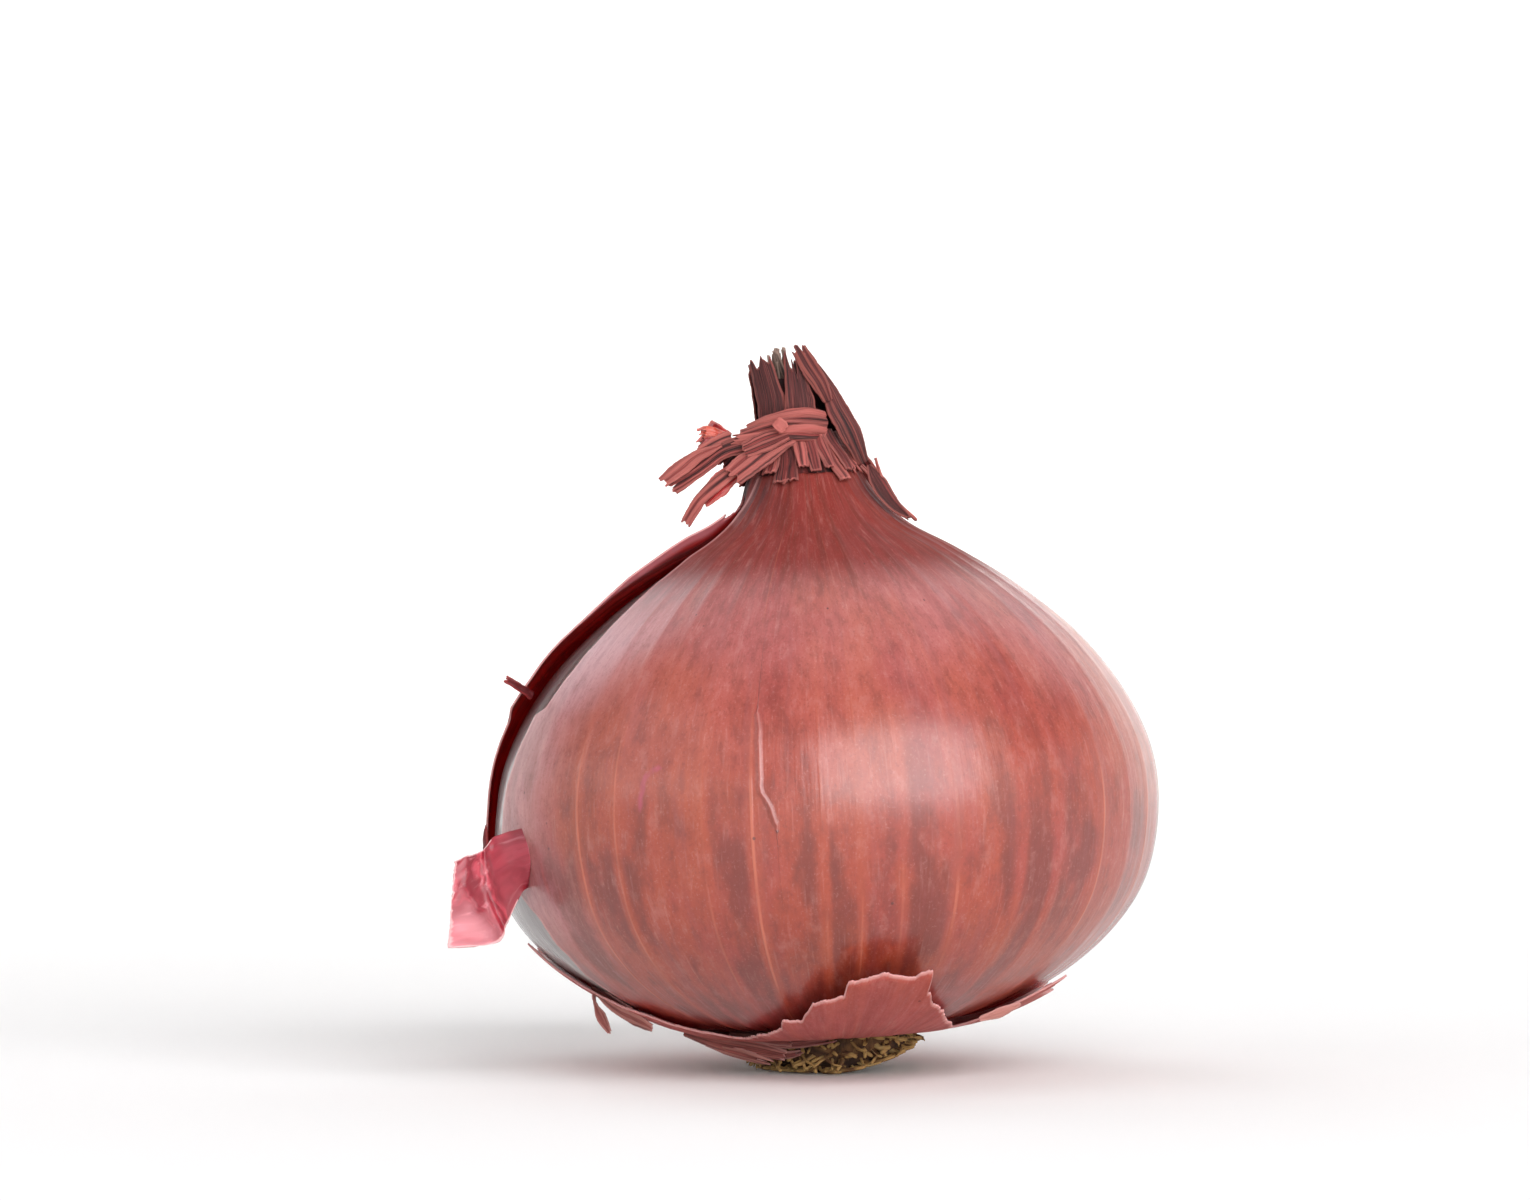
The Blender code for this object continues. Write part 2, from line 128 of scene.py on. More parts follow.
def wavering(place: float, row: float, size: float) -> float:
    """A smooth random value from about -1 to 1.

    Args:
        place: where to read it, in units of one waver.
        row: which of many separate wavers to read.
        size: what the value is multiplied by.

    Returns:
        The value times the size.
    """
    return ripple(place, row * 7.31, row * 3.17) * size


@dataclass
class Form:
    """The bulb's form under its outer skin: outline, lean, lanes between veins, and low relief."""

    outline: Table = (
        (0.0092, 0.0050), (0.0173, 0.0059), (0.0247, 0.0090), (0.0308, 0.0134), (0.0351, 0.0190),
        (0.0370, 0.0260), (0.0368, 0.0330), (0.0342, 0.0397), (0.0294, 0.0464), (0.0230, 0.0521),
        (0.0165, 0.0565), (0.0113, 0.0595), (0.0080, 0.0627), (0.0063, 0.0654),
    )
    lean: float = math.radians(3.0)
    roundness_error: float = 0.006
    wide_way: float = 50.0
    widest: float = 0.0370
    # Where the stronger veins run, as azimuths on the front; the others are spread evenly.
    veins: tuple[float, ...] = (
        -66.0, -55.0, -44.0, -36.0, -29.0, -20.0, -12.0, -0.3, 6.0, 13.0, 22.0, 34.0, 42.0, 54.0, 63.0, 72.0,
    )
    vein_spacing: float = 9.0
    wander: float = 0.9
    ridge: float = 0.00005
    pleat: float = 0.00007
    pleat_start: float = 0.62
    lump: float = 0.00010
    hollow_depth: float = 0.0011
    steps: int = 600
    stations: list[tuple[float, ...]] = field(default_factory=list)
    vein_places: list[float] = field(default_factory=list)

    def __post_init__(self) -> None:
        """Reads the outline at even steps, and spreads the veins round the back."""
        length = 0.0
        last = None
        for step in range(self.steps + 1):
            share = step / self.steps
            radius, height = on_spline(self.outline, share)
            run = (on_spline(self.outline, share + 0.01) - on_spline(self.outline, share - 0.01)).normalized()
            if last is not None:
                length += math.hypot(radius - last[0], height - last[1])
            last = (radius, height)
            self.stations.append((radius, height, run.x, run.y, length))
        draw = random.Random(21)
        places = list(self.veins)
        while places[-1] < 360.0 + self.veins[0] - self.vein_spacing * 1.4:
            places.append(places[-1] + self.vein_spacing * draw.uniform(0.7, 1.3))
        self.vein_places = places + [360.0 + self.veins[0]]

    def station(self, share: float) -> tuple[float, ...]:
        """The outline's radius, height, run and length so far at a share."""
        place = min(max(share, 0.0), 1.0) * self.steps
        first = min(int(place), self.steps - 1)
        part = place - first
        return tuple(a + (b - a) * part for a, b in zip(self.stations[first], self.stations[first + 1]))

    def lane(self, azimuth: float, share: float) -> float:
        """Counts the veins up to a place.

        Args:
            azimuth: where round the bulb.
            share: where along the outline, because veins wander a little.

        Returns:
            A whole number on each vein, and the shares between them elsewhere.
        """
        azimuth += ripple(azimuth * 0.045, share * 2.5, 4.0) * self.wander
        turns = math.floor((azimuth - self.vein_places[0]) / 360.0)
        azimuth -= turns * 360.0
        count = len(self.vein_places) - 1
        for index in range(count):
            low, high = self.vein_places[index], self.vein_places[index + 1]
            if azimuth <= high:
                return turns * count + index + (azimuth - low) / (high - low)
        return (turns + 1.0) * count

    def relief(self, azimuth: float, share: float, lane: float) -> float:
        """How far the skins stand out on veins, pleats and lumps there."""
        wave = 0.5 + 0.5 * math.cos(2 * math.pi * lane)
        gather = max(share - self.pleat_start, 0.0) / (1.0 - self.pleat_start)
        fold = ripple(azimuth * 0.16, share * 1.3, 9.0)
        lump = ripple(azimuth * 0.075, share * 4.0, 2.0)
        return self.ridge * wave**3 + self.pleat * gather * (0.6 * wave + 0.7 * fold) + self.lump * lump

    def girth(self, azimuth: float) -> float:
        """How far round an azimuth lies where the bulb is widest, in metres."""
        return math.radians(azimuth) * self.widest

    def hollow(self, azimuth: float, share: float) -> float:
        """How far the bulb lies deeper on the left, where the layer over it is gone."""
        wide = smooth((-58.0 - azimuth) / 13.0) * smooth((azimuth + 134.0) / 24.0)
        return self.hollow_depth * wide * smooth((share - 0.33) / 0.12) * smooth((0.98 - share) / 0.10)

    def point(self, azimuth: float, share: float, lift: float) -> Vector:
        """A point this far outside the bulb's outer skin, leaning with the bulb."""
        radius, height, run_out, run_up, _ = self.station(share)
        radius *= 1.0 + self.roundness_error * math.cos(math.radians(2 * azimuth + self.wide_way))
        point = turned(azimuth) * (radius + run_up * lift)
        point.z = height - run_out * lift
        return Matrix.Rotation(-self.lean, 3, "Y") @ point


FORM = Form()


@dataclass(frozen=True)
class Spot:
    """One corner of a sheet: its place, and what its finish reads there."""

    point: Vector
    facing: Vector
    across: float
    along: float
    lane: float = 0.0
    edge: float = 0.02
    crease: float = 0.02
    mark: float = 0.02
    shade: float = 0.0
    tone: float = 0.5


class Reading(Enum):
    """The attributes that the finishes read on a piece."""

    GRAIN = "grain"  # across, along, tone
    LANE = "lane"  # veins counted round the bulb
    EDGE = "edge"  # metres to the torn edge
    CREASE = "crease"  # metres to the wrinkle, less than nothing on its left
    MARK = "mark"  # metres to the stain
    SHADE = "shade"  # how dark and grey the skin is painted as shade, from 0 to 1


class SheetWork:
    """A mesh in the making that is laid out as bent grids, each corner with its readings."""

    def __init__(self) -> None:
        """Starts with no faces."""
        self.made = bmesh.new()
        layers = self.made.verts.layers
        self.layers = {
            reading: (layers.float_vector if reading is Reading.GRAIN else layers.float).new(reading.value)
            for reading in Reading
        }

    def read(self, corner: bmesh.types.BMVert, spot: Spot) -> None:
        """Writes a spot's place and readings on a corner."""
        corner.co = spot.point
        grain = (spot.across, spot.along, spot.tone)
        for reading, value in zip(Reading, (grain, spot.lane, spot.edge, spot.crease, spot.mark, spot.shade)):
            corner[self.layers[reading]] = value

    def lay(self, columns: int, rows: int, place: Callable[[float, float], Spot]) -> list[bmesh.types.BMVert]:
        """Lays one bent grid.

        Args:
            columns: faces across.
            rows: faces along.
            place: gives the spot at u and v, both from 0 to 1.

        Returns:
            The grid's corners.
        """
        corners = bmesh.ops.create_grid(self.made, x_segments=columns, y_segments=rows, size=0.5)["verts"]
        facings = {}
        for corner in corners:
            spot = place(corner.co.x + 0.5, corner.co.y + 0.5)
            facings[corner] = spot.facing
            self.read(corner, spot)
        faces = list({face for corner in corners for face in corner.link_faces})
        agreed = 0.0
        for face in faces:
            face.normal_update()
            agreed += face.normal.dot(facings[face.verts[0]])
        if agreed < 0:
            bmesh.ops.reverse_faces(self.made, faces=faces)
        return corners

    def close(self, outward: bool = True) -> None:
        """Merges the seams and fills the ends.

        Args:
            outward: whether the faces are turned outward as well.
        """
        bmesh.ops.remove_doubles(self.made, verts=self.made.verts[:], dist=1e-7)
        bmesh.ops.holes_fill(self.made, edges=self.made.edges[:], sides=0)
        if outward:
            bmesh.ops.recalc_face_normals(self.made, faces=self.made.faces[:])

    def piece(self, name: str, finishes: Sequence["Finish"], thickness: float = 0.0,
              node: str = "") -> bpy.types.Object:
        """Makes the object.

        Args:
            name: the piece's name.
            finishes: of its outside, its inside and its torn edge.
            thickness: of the sheet, inwards from its grid.
            node: the CAD node that it stands for, if any.

        Returns:
            The piece, riding on the body.
        """
        mesh = bpy.data.meshes.new(name)
        self.made.to_mesh(mesh)
        self.made.free()
        mesh.shade_smooth()
        for finish in finishes:
            mesh.materials.append(finish.material())
        made = bpy.data.objects.new(name, mesh)
        bpy.context.scene.collection.objects.link(made)
        if thickness:
            wall = made.modifiers.new("wall", "SOLIDIFY")
            wall.thickness = thickness
            wall.offset = -1.0
            wall.material_offset = min(1, len(finishes) - 1)
            wall.material_offset_rim = len(finishes) - 1
        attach(made, BODY)
        if node:
            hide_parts(node)
        LOG.info("%s: %d faces, %.2f mm thick", name, len(mesh.polygons), thickness / MM)
        return made


def add(tree: bpy.types.NodeTree, kind: str, settings: dict[str, Any] | None = None,
        inputs: dict[str | int, Any] | None = None) -> bpy.types.Node:
    """Adds a node with its settings and links.

    Args:
        tree: the material's or world's node tree.
        kind: the node's type name.
        settings: the node's own properties.
        inputs: a value or another node's output for each named or numbered socket.

    Returns:
        The node.
    """
    made = tree.nodes.new(kind)
    for key, value in (settings or {}).items():
        setattr(made, key, value)
    for key, value in (inputs or {}).items():
        if isinstance(value, bpy.types.NodeSocket):
            tree.links.new(value, made.inputs[key])
        else:
            made.inputs[key].default_value = value
    return made


MIX = {"data_type": "RGBA"}


def masked(tree: bpy.types.NodeTree, value: Any, low: float, high: float,
           give: Any = 1.0) -> bpy.types.NodeSocket:
    """Turns a value to a soft mask.

    Args:
        tree: the node tree.
        value: the output to read.
        low: where the mask is 0.
        high: where it is full; less than low for a mask that falls.
        give: the mask's full value, a number or another mask that this one narrows.

    Returns:
        The mask.
    """
    rising = low < high
    inputs = {"Value": value, "From Min": min(low, high), "From Max": max(low, high),
              "To Min": 0.0 if rising else give, "To Max": give if rising else 0.0}
    return add(tree, "ShaderNodeMapRange", {"interpolation_type": "SMOOTHSTEP"}, inputs).outputs["Result"]


def fibres(tree: bpy.types.NodeTree, width: float, length: float, detail: float = 2.0,
           shift: float = 0.0) -> bpy.types.NodeSocket:
    """A noise drawn out along the grain.

    Args:
        tree: the node tree.
        width: of one streak, in metres.
        length: of one streak, in metres.
        detail: how many finer streaks lie within it.
        shift: moves it, so that two of the same size differ.

    Returns:
        The noise, from 0 to 1.
    """
    grain = add(tree, "ShaderNodeAttribute", {"attribute_name": Reading.GRAIN.value}).outputs["Vector"]
    drawn = add(tree, "ShaderNodeMapping", {}, {
        "Vector": grain, "Scale": (1 / width, 1 / length, 5.0), "Location": (shift, shift * 0.7, 0.0)})
    return add(tree, "ShaderNodeTexNoise", {}, {
        "Vector": drawn.outputs["Vector"], "Scale": 1.0, "Detail": detail, "Roughness": 0.55}).outputs["Fac"]


def new_material(name: str) -> tuple[bpy.types.Material, bpy.types.NodeTree, bpy.types.Node]:
    """A node material, its tree and its shader."""
    material = bpy.data.materials.new(name)
    material.use_nodes = True
    return material, material.node_tree, material.node_tree.nodes["Principled BSDF"]


def set_shader(shader: bpy.types.Node, values: dict[str, Any]) -> None:
    """Sets the shader's own sockets to values that are the same all over."""
    for key, value in values.items():
        shader.inputs[key].default_value = value


def coat(tree: bpy.types.NodeTree, shader: bpy.types.Node, colour: Any, tints: Sequence[tuple[Any, str]],
         rough: tuple[Any, float, float], heights: Sequence[tuple[float, float, Any]]) -> bpy.types.NodeSocket:
    """Lays tints over a colour and reliefs over one another, and links both to the shader.

    Args:
        tree: the node tree.
        shader: what they are linked to.
        colour: the colour underneath.
        tints: a mask and an sRGB hex colour for each tint, the lowest first.
        rough: the noise that the roughness follows, with its roughness at 0.3 and at 0.7.
        heights: for each relief its strength, its depth in metres and its mask.

    Returns:
        The normal.
    """
    for mask, tint in tints:
        colour = add(tree, "ShaderNodeMix", MIX, {0: mask, 6: colour, 7: linear(tint)}).outputs[2]
    tree.links.new(colour, shader.inputs["Base Color"])
    noise_there, low, high = rough
    follows = add(tree, "ShaderNodeMapRange", {}, {
        "Value": noise_there, "From Min": 0.3, "From Max": 0.7, "To Min": low, "To Max": high})
    tree.links.new(follows.outputs[0], shader.inputs["Roughness"])
    below = {}
    for strength, depth, mask in heights:
        bump = add(tree, "ShaderNodeBump", {}, {
            "Strength": strength, "Distance": depth, "Height": mask, **below})
        below = {"Normal": bump.outputs[0]}
    tree.links.new(below["Normal"], shader.inputs["Normal"])
    return below["Normal"]


@dataclass(frozen=True)
class PaperySkin:
    """The dry outer skin of a red onion: a thin dead leaf, dried taut in the air.

    The eye sees satin with a waxy gloss, fine streaks from root to neck, and brighter veins between brown
    patches.
    """

    name: str = "onion_skin_dried_taut"
    ground: str = "963c28"
    pink: str = "903834"
    shoulder: str = "a4544f"
    patch_and_shade: str = "66281f"
    # Also the painted shade on the wrinkle's left side.
    copper: str = "a04a2c"
    vein: str = "bc6850"
    thin: str = "b27c80"
    dark_streak: str = "844240"
    # Also the painted highlight on the wrinkle's lip.
    pale_streak_and_highlight: str = "c89088"
    rim: str = "d8a09c"
    stain: str = "a8405a"
    speck: str = "4a2422"
    collar: str = "722019"
    # Painted shade: dark grey, round the neck's foot and beside the flap's root.
    painted_shade_tint: str = "4a2829"
    base_gloss: float = 0.2
    thinness: float = 0.75
    rim_strength: float = 0.45
    roughness: float = 0.50
    gloss: float = 1.0
    gloss_roughness: float = 0.26
    patchiness: float = 0.75
    veining: float = 0.8

    def make(self) -> bpy.types.Material:
        """Builds the material."""
        material, tree, shader = new_material(self.name)
        readings = {reading: add(tree, "ShaderNodeAttribute", {"attribute_name": reading.value}).outputs
                    for reading in Reading}
        lane, edge, crease, mark, painted_shade_amount = (readings[reading]["Fac"] for reading in list(Reading)[1:])
        grain = readings[Reading.GRAIN]["Vector"]
        along = add(tree, "ShaderNodeSeparateXYZ", {}, {"Vector": grain}).outputs["Y"]

        # Veins: bright lines about 0.5 mm wide, each of its own strength, broken and faint higher up.
        near, number, to_crease = (
            add(tree, "ShaderNodeMath", {"operation": operation}, {0: value, 1: 0.5}).outputs[0]
            for operation, value in (("PINGPONG", lane), ("ROUND", lane), ("ABSOLUTE", crease)))
        own = add(tree, "ShaderNodeTexWhiteNoise", {"noise_dimensions": "1D"}, {"W": number}).outputs["Value"]
        strength = masked(tree, own, 0.25, 1.0, 0.85 * self.veining)
        strength = masked(tree, fibres(tree, 9 * MM, 13 * MM, 1.0), 0.40, 0.62, strength)
        line = masked(tree, near, 0.040, 0.010, strength)
        faint = add(tree, "ShaderNodeMath", {"operation": "MULTIPLY"}, {0: line, 1: 0.25}).outputs[0]
        line = add(tree, "ShaderNodeMath", {"operation": "MULTIPLY_ADD"},
                   {0: masked(tree, along, 0.060, 0.034, 0.75), 1: line, 2: faint}).outputs[0]
        glow = masked(tree, along, 0.066, 0.030, masked(tree, own, 0.25, 1.0, 0.30))
        glow = masked(tree, near, 0.20, 0.02, glow)

        # Noises along the grain: a close mottle, fine streaks about 0.3 mm wide, dust, and broad bands.
        mottle = fibres(tree, 1.4 * MM, 2.6 * MM, 5.0, 2.0)
        fine = fibres(tree, 0.42 * MM, 5 * MM, 4.0, 1.0)
        dust = fibres(tree, 0.26 * MM, 0.34 * MM, 2.0, 11.0)
        band = fibres(tree, 1.9 * MM, 26 * MM, 3.0, 6.0)

        # Specks of soil under 0.4 mm, few and dark.
        dots = add(tree, "ShaderNodeTexVoronoi", {}, {"Scale": 1.0, "Vector": add(
            tree, "ShaderNodeMapping", {}, {"Vector": grain, "Scale": (420, 420, 1)}).outputs[0]}).outputs
        chance = add(tree, "ShaderNodeSeparateColor", {}, {"Color": dots["Color"]}).outputs[0]

        # The ground: copper below, dusty pink towards both ends, dark and without its wax at the neck.
        ground = add(tree, "ShaderNodeMix", MIX, {
            0: masked(tree, along, 0.040, 0.066), 6: linear(self.ground), 7: linear(self.shoulder)}).outputs[2]
        tints = (
            (masked(tree, along, 0.026, 0.008), self.pink),
            # Soft warm and cool areas.
            (masked(tree, fibres(tree, 16 * MM, 22 * MM, 2.0, 3.0), 0.42, 0.66, 0.45), self.copper),
            (masked(tree, fibres(tree, 9 * MM, 16 * MM, 3.0, 8.0), 0.44, 0.66, 0.60), self.pink),
            # The neck's dark gather, the painted grey shade round the neck's foot and beside the flap's root,
            # and the neck's dark streaks.
            (masked(tree, along, 0.067, 0.076, 0.85), self.collar),
            (masked(tree, fibres(tree, 0.9 * MM, 6 * MM, 3.0, 7.0), 0.30, 0.55, painted_shade_amount), self.painted_shade_tint),
            (masked(tree, along, 0.064, 0.076, masked(
                tree, fibres(tree, 1.6 * MM, 9 * MM, 3.0, 9.0), 0.48, 0.66, 0.7)), self.patch_and_shade),
            # Paler and pinker towards the tear, where the skin is thin.
            (masked(tree, edge, 0.0150, 0.0010, masked(
                tree, along, 0.022, 0.036, masked(tree, along, 0.070, 0.062, self.thinness))), self.thin),
            # Brown patches between the veins, where the layer beneath clings and shows through.
            (masked(tree, near, 0.04, 0.22, masked(tree, along, 0.062, 0.034, masked(
                tree, fibres(tree, 5.5 * MM, 13 * MM, 6.0, 5.0), 0.42, 0.62, self.patchiness))), self.patch_and_shade),
            (masked(tree, mottle, 0.54, 0.30, 0.38), self.patch_and_shade),
            (masked(tree, mottle, 0.52, 0.74, 0.14), self.pale_streak_and_highlight),
            (masked(tree, fine, 0.50, 0.28, 0.20), self.dark_streak),
            (masked(tree, fine, 0.56, 0.80, 0.16), self.pale_streak_and_highlight),
            (masked(tree, dust, 0.46, 0.26, 0.34), self.patch_and_shade),
            (masked(tree, dust, 0.56, 0.78, 0.16), self.pale_streak_and_highlight),
            (masked(tree, band, 0.47, 0.30, 0.30), self.dark_streak),
            (glow, self.copper),
            (line, self.vein),
            (masked(tree, mark, 0.0005, 0.0, 0.6), self.stain),
            (masked(tree, dots["Distance"], 0.10, 0.04, masked(tree, chance, 0.86, 0.90, 0.8)), self.speck),
            # The pale dry rim of the tear.
            (masked(tree, edge, 0.0006, 0.0001, self.rim_strength), self.rim),
            # The wrinkle's painted shade on its left side, and a painted highlight on its lip.
            (masked(tree, crease, -0.0008, -0.0002, masked(tree, crease, 0.0, -0.00015, 0.30)), self.patch_and_shade),
            (masked(tree, crease, -0.00005, 0.00008, masked(tree, crease, 0.00035, 0.00008, 0.28)),
             self.pale_streak_and_highlight),
        )
        heights = (
            (0.8, 0.00010, masked(tree, to_crease, 0.0005, 0.0)), (0.8, 0.00009, line),
            (0.8, 0.00011, masked(tree, along, 0.080, 0.034, band)),
            (0.6, 0.000028, masked(tree, along, 0.080, 0.034, fine)), (0.5, 0.000012, dust),
        )
        rough = (fine, self.roughness + 0.07, self.roughness - 0.05)
        normal = coat(tree, shader, ground, tints, rough, heights)
        tree.links.new(normal, shader.inputs["Coat Normal"])
        tree.links.new(masked(tree, along, 0.077, 0.069, self.gloss), shader.inputs["Coat Weight"])
        set_shader(shader, {"IOR": 1.45, "Specular IOR Level": self.base_gloss, "Coat IOR": 1.56,
                            "Coat Roughness": self.gloss_roughness})
        return material


@dataclass(frozen=True)
class StreakedTissue:
    """Dry or living onion tissue that is streaked along its fibres, with a rim where it is torn.

    The fields say which: a taut fresh skin is smooth and cool, a skin's inner face is dark and shiny, a dry
    neck is matt and ribbed, and a root is brown and rough.
    """

    name: str
    ground: str
    dark: str
    pale: str
    rim: str
    rim_width: float
    streak_width: float
    streak_length: float
    roughness: float
    gloss: float = 0.0
    gloss_roughness: float = 0.15
    relief: float = 0.00005
    rim_strength: float = 0.8
    glow: float = 0.0

    def make(self) -> bpy.types.Material:
        """Builds the material."""
        material, tree, shader = new_material(self.name)
        grain = add(tree, "ShaderNodeAttribute", {"attribute_name": Reading.GRAIN.value}).outputs["Vector"]
        tone = add(tree, "ShaderNodeSeparateXYZ", {}, {"Vector": grain}).outputs["Z"]
        edge = add(tree, "ShaderNodeAttribute", {"attribute_name": Reading.EDGE.value}).outputs["Fac"]
        fine = fibres(tree, self.streak_width, self.streak_length, 3.0)
        broad = fibres(tree, self.streak_width * 6, self.streak_length * 1.5, 2.0, 4.0)
        tints = (
            (masked(tree, broad, 0.36, 0.66), self.ground),
            (masked(tree, fine, 0.50, 0.28, 0.75), self.dark),
            (masked(tree, fine, 0.55, 0.80, 0.70), self.pale),
            # Darker and paler by each piece's tone: some differs at random, and some is painted light and shade
            # that follows furrows, folds and crinkles, and the flap's root and free end.
            (masked(tree, tone, 0.35, 0.0, 0.6), self.dark),
            (masked(tree, tone, 0.65, 1.0, 0.6), self.pale),
            (masked(tree, edge, self.rim_width, self.rim_width * 0.4, self.rim_strength), self.rim),
        )
        coat(tree, shader, linear(self.dark), tints, (fine, self.roughness + 0.08, self.roughness - 0.05),
             ((0.8, self.relief * 2, broad), (0.8, self.relief, fine)))
        set_shader(shader, {"IOR": 1.45, "Coat Weight": self.gloss, "Coat Roughness": self.gloss_roughness,
                            "Subsurface Weight": self.glow, "Subsurface Scale": 0.001,
                            "Subsurface Radius": (1.0, 0.35, 0.3)})
        return material


class Finish(Enum):
    """The finishes of the onion."""

    # Bronze red, satin, veined.
    OUTER = PaperySkin()
    # The outermost remnants are duller, dried longer in the air and dusty.
    REMNANT = PaperySkin(
        name="onion_skin_dried_matt", ground="a64c44", pink="ac5652", shoulder="a8524e", patch_and_shade="843a36",
        copper="a44e3c", vein="ac5c50", rim="cfa29a", roughness=0.6, gloss=0.05, patchiness=0.35,
        veining=0.3, thinness=0.0)
    # The taut living skin beneath: grey violet, with a wet gloss.
    INNER = StreakedTissue(
        "onion_inner_skin_taut", "9a9694", "746c6c", "c0bcb8", "6a4048", 0.0004, 0.5 * MM, 14 * MM,
        roughness=0.30, gloss=0.5, gloss_roughness=0.12, relief=0.00002)
    # The inner face of a dry skin: wine red and shiny.
    LINING = StreakedTissue(
        "onion_skin_inner_face", "a02420", "701418", "b84440", "d08c94", 0.0019, 0.4 * MM, 12 * MM,
        roughness=0.38, gloss=0.25, relief=0.00003, glow=0.6)
    # Splinters on the loose skin's edge: dark red, hard and dull.
    SPLINTER = StreakedTissue(
        "onion_skin_red_splinter", "8a2020", "551014", "a43434", "9a3030", 0.0002, 0.3 * MM, 3 * MM,
        roughness=0.5, relief=0.00005)
    # The torn rim of a skin: pale pink broken fibre.
    TORN = StreakedTissue(
        "onion_skin_torn_edge", "b06a68", "8a4444", "d09c98", "c89490", 0.0002, 0.3 * MM, 1 * MM,
        roughness=0.7, glow=0.2)
    # The loose skin, seen at its rim: dusty pink outside.
    LOOSE = PaperySkin(
        name="onion_skin_lifted", ground="9a4538", pink="a0504e", shoulder="a0504c", patch_and_shade="6a2c26",
        copper="a04e36", vein="bc6c58", thin="c08088", rim="d08890", gloss=0.6, veining=0.6)
    # The curled flap: a single thin moist layer, so that light comes through it pink.
    PETAL = StreakedTissue(
        "onion_skin_thin_flap", "c04454", "821a2a", "dc8e96", "e8b4b4", 0.0004, 0.9 * MM, 6 * MM,
        roughness=0.4, gloss=0.2, glow=0.5, relief=0.00005)
    # The neck: bundles of dry leaf sheath, dull and ribbed.
    SHEATH = StreakedTissue(
        "onion_neck_dry_sheath", "7c2d29", "2e0d0c", "bc655c", "bc6a60", 0.0003, 0.35 * MM, 7 * MM,
        roughness=0.72, relief=0.00012, rim_strength=0.4)
    # The blades of the neck, the oldest sheaths: darker and brown.
    BLADE = StreakedTissue(
        "onion_neck_old_sheath", "622422", "260c0b", "96483f", "a4564c", 0.0003, 0.35 * MM, 7 * MM,
        roughness=0.75, relief=0.00012, rim_strength=0.4)
    # The middle of the neck, painted dark as shade; also the inner faces of the blades and the skirt.
    CORE_PAINTED_SHADE = StreakedTissue(
        "onion_neck_core_painted_shade", "4a1c1c", "240c0c", "6e3230", "6e3230", 0.0002, 0.35 * MM, 7 * MM,
        roughness=0.85, relief=0.00012)
    # The red curl behind the band: a shiny crinkled shred.
    CURL = StreakedTissue(
        "onion_neck_shiny_shred", "b8302c", "7a1218", "d8684c", "dc8878", 0.0004, 0.4 * MM, 3 * MM,
        roughness=0.35, gloss=0.3, relief=0.00014, rim_strength=0.3, glow=0.2)
    # The fibres left in the middle of the neck: grey brown and dull.
    THREAD = StreakedTissue(
        "onion_neck_grey_fibre", "6a5650", "3a2c28", "93796c", "93796c", 0.0002, 0.2 * MM, 3 * MM,
        roughness=0.85, relief=0.00005)
    # Shards of skin round the roots: brownish pink and brittle.
    SHARD = StreakedTissue(
        "onion_skin_brittle_shard", "985048", "5c2a26", "b87c70", "cfa096", 0.00025, 0.35 * MM, 5 * MM,
        roughness=0.6, relief=0.00006, rim_strength=0.3)
    # Dry roots: ochre straw, darker where they break off.
    ROOT = StreakedTissue(
        "onion_root_dried", "a07c48", "543420", "c8ac74", "b08c54", 0.0005, 0.25 * MM, 2 * MM,
        roughness=0.85, relief=0.00006)
    PLATE = StreakedTissue(
        "onion_root_plate", "6a4a2c", "38241a", "8e6c40", "4a2f22", 0.0004, 0.4 * MM, 1.2 * MM,
        roughness=0.9, relief=0.00015)

    def material(self) -> bpy.types.Material:
        """The finish's material, made the first time it is asked for."""
        made = bpy.data.materials.get(self.value.name)
        return made or self.value.make()


def segment_distance(point: tuple[float, float], start: tuple[float, float],
                     end: tuple[float, float]) -> float:
    """How far a flat point is from a straight line between two others."""
    p, a, b = Vector(point), Vector(start), Vector(end)
    run = b - a
    part = min(max((p - a).dot(run) / run.length_squared, 0.0), 1.0)
    return (p - a - run * part).length


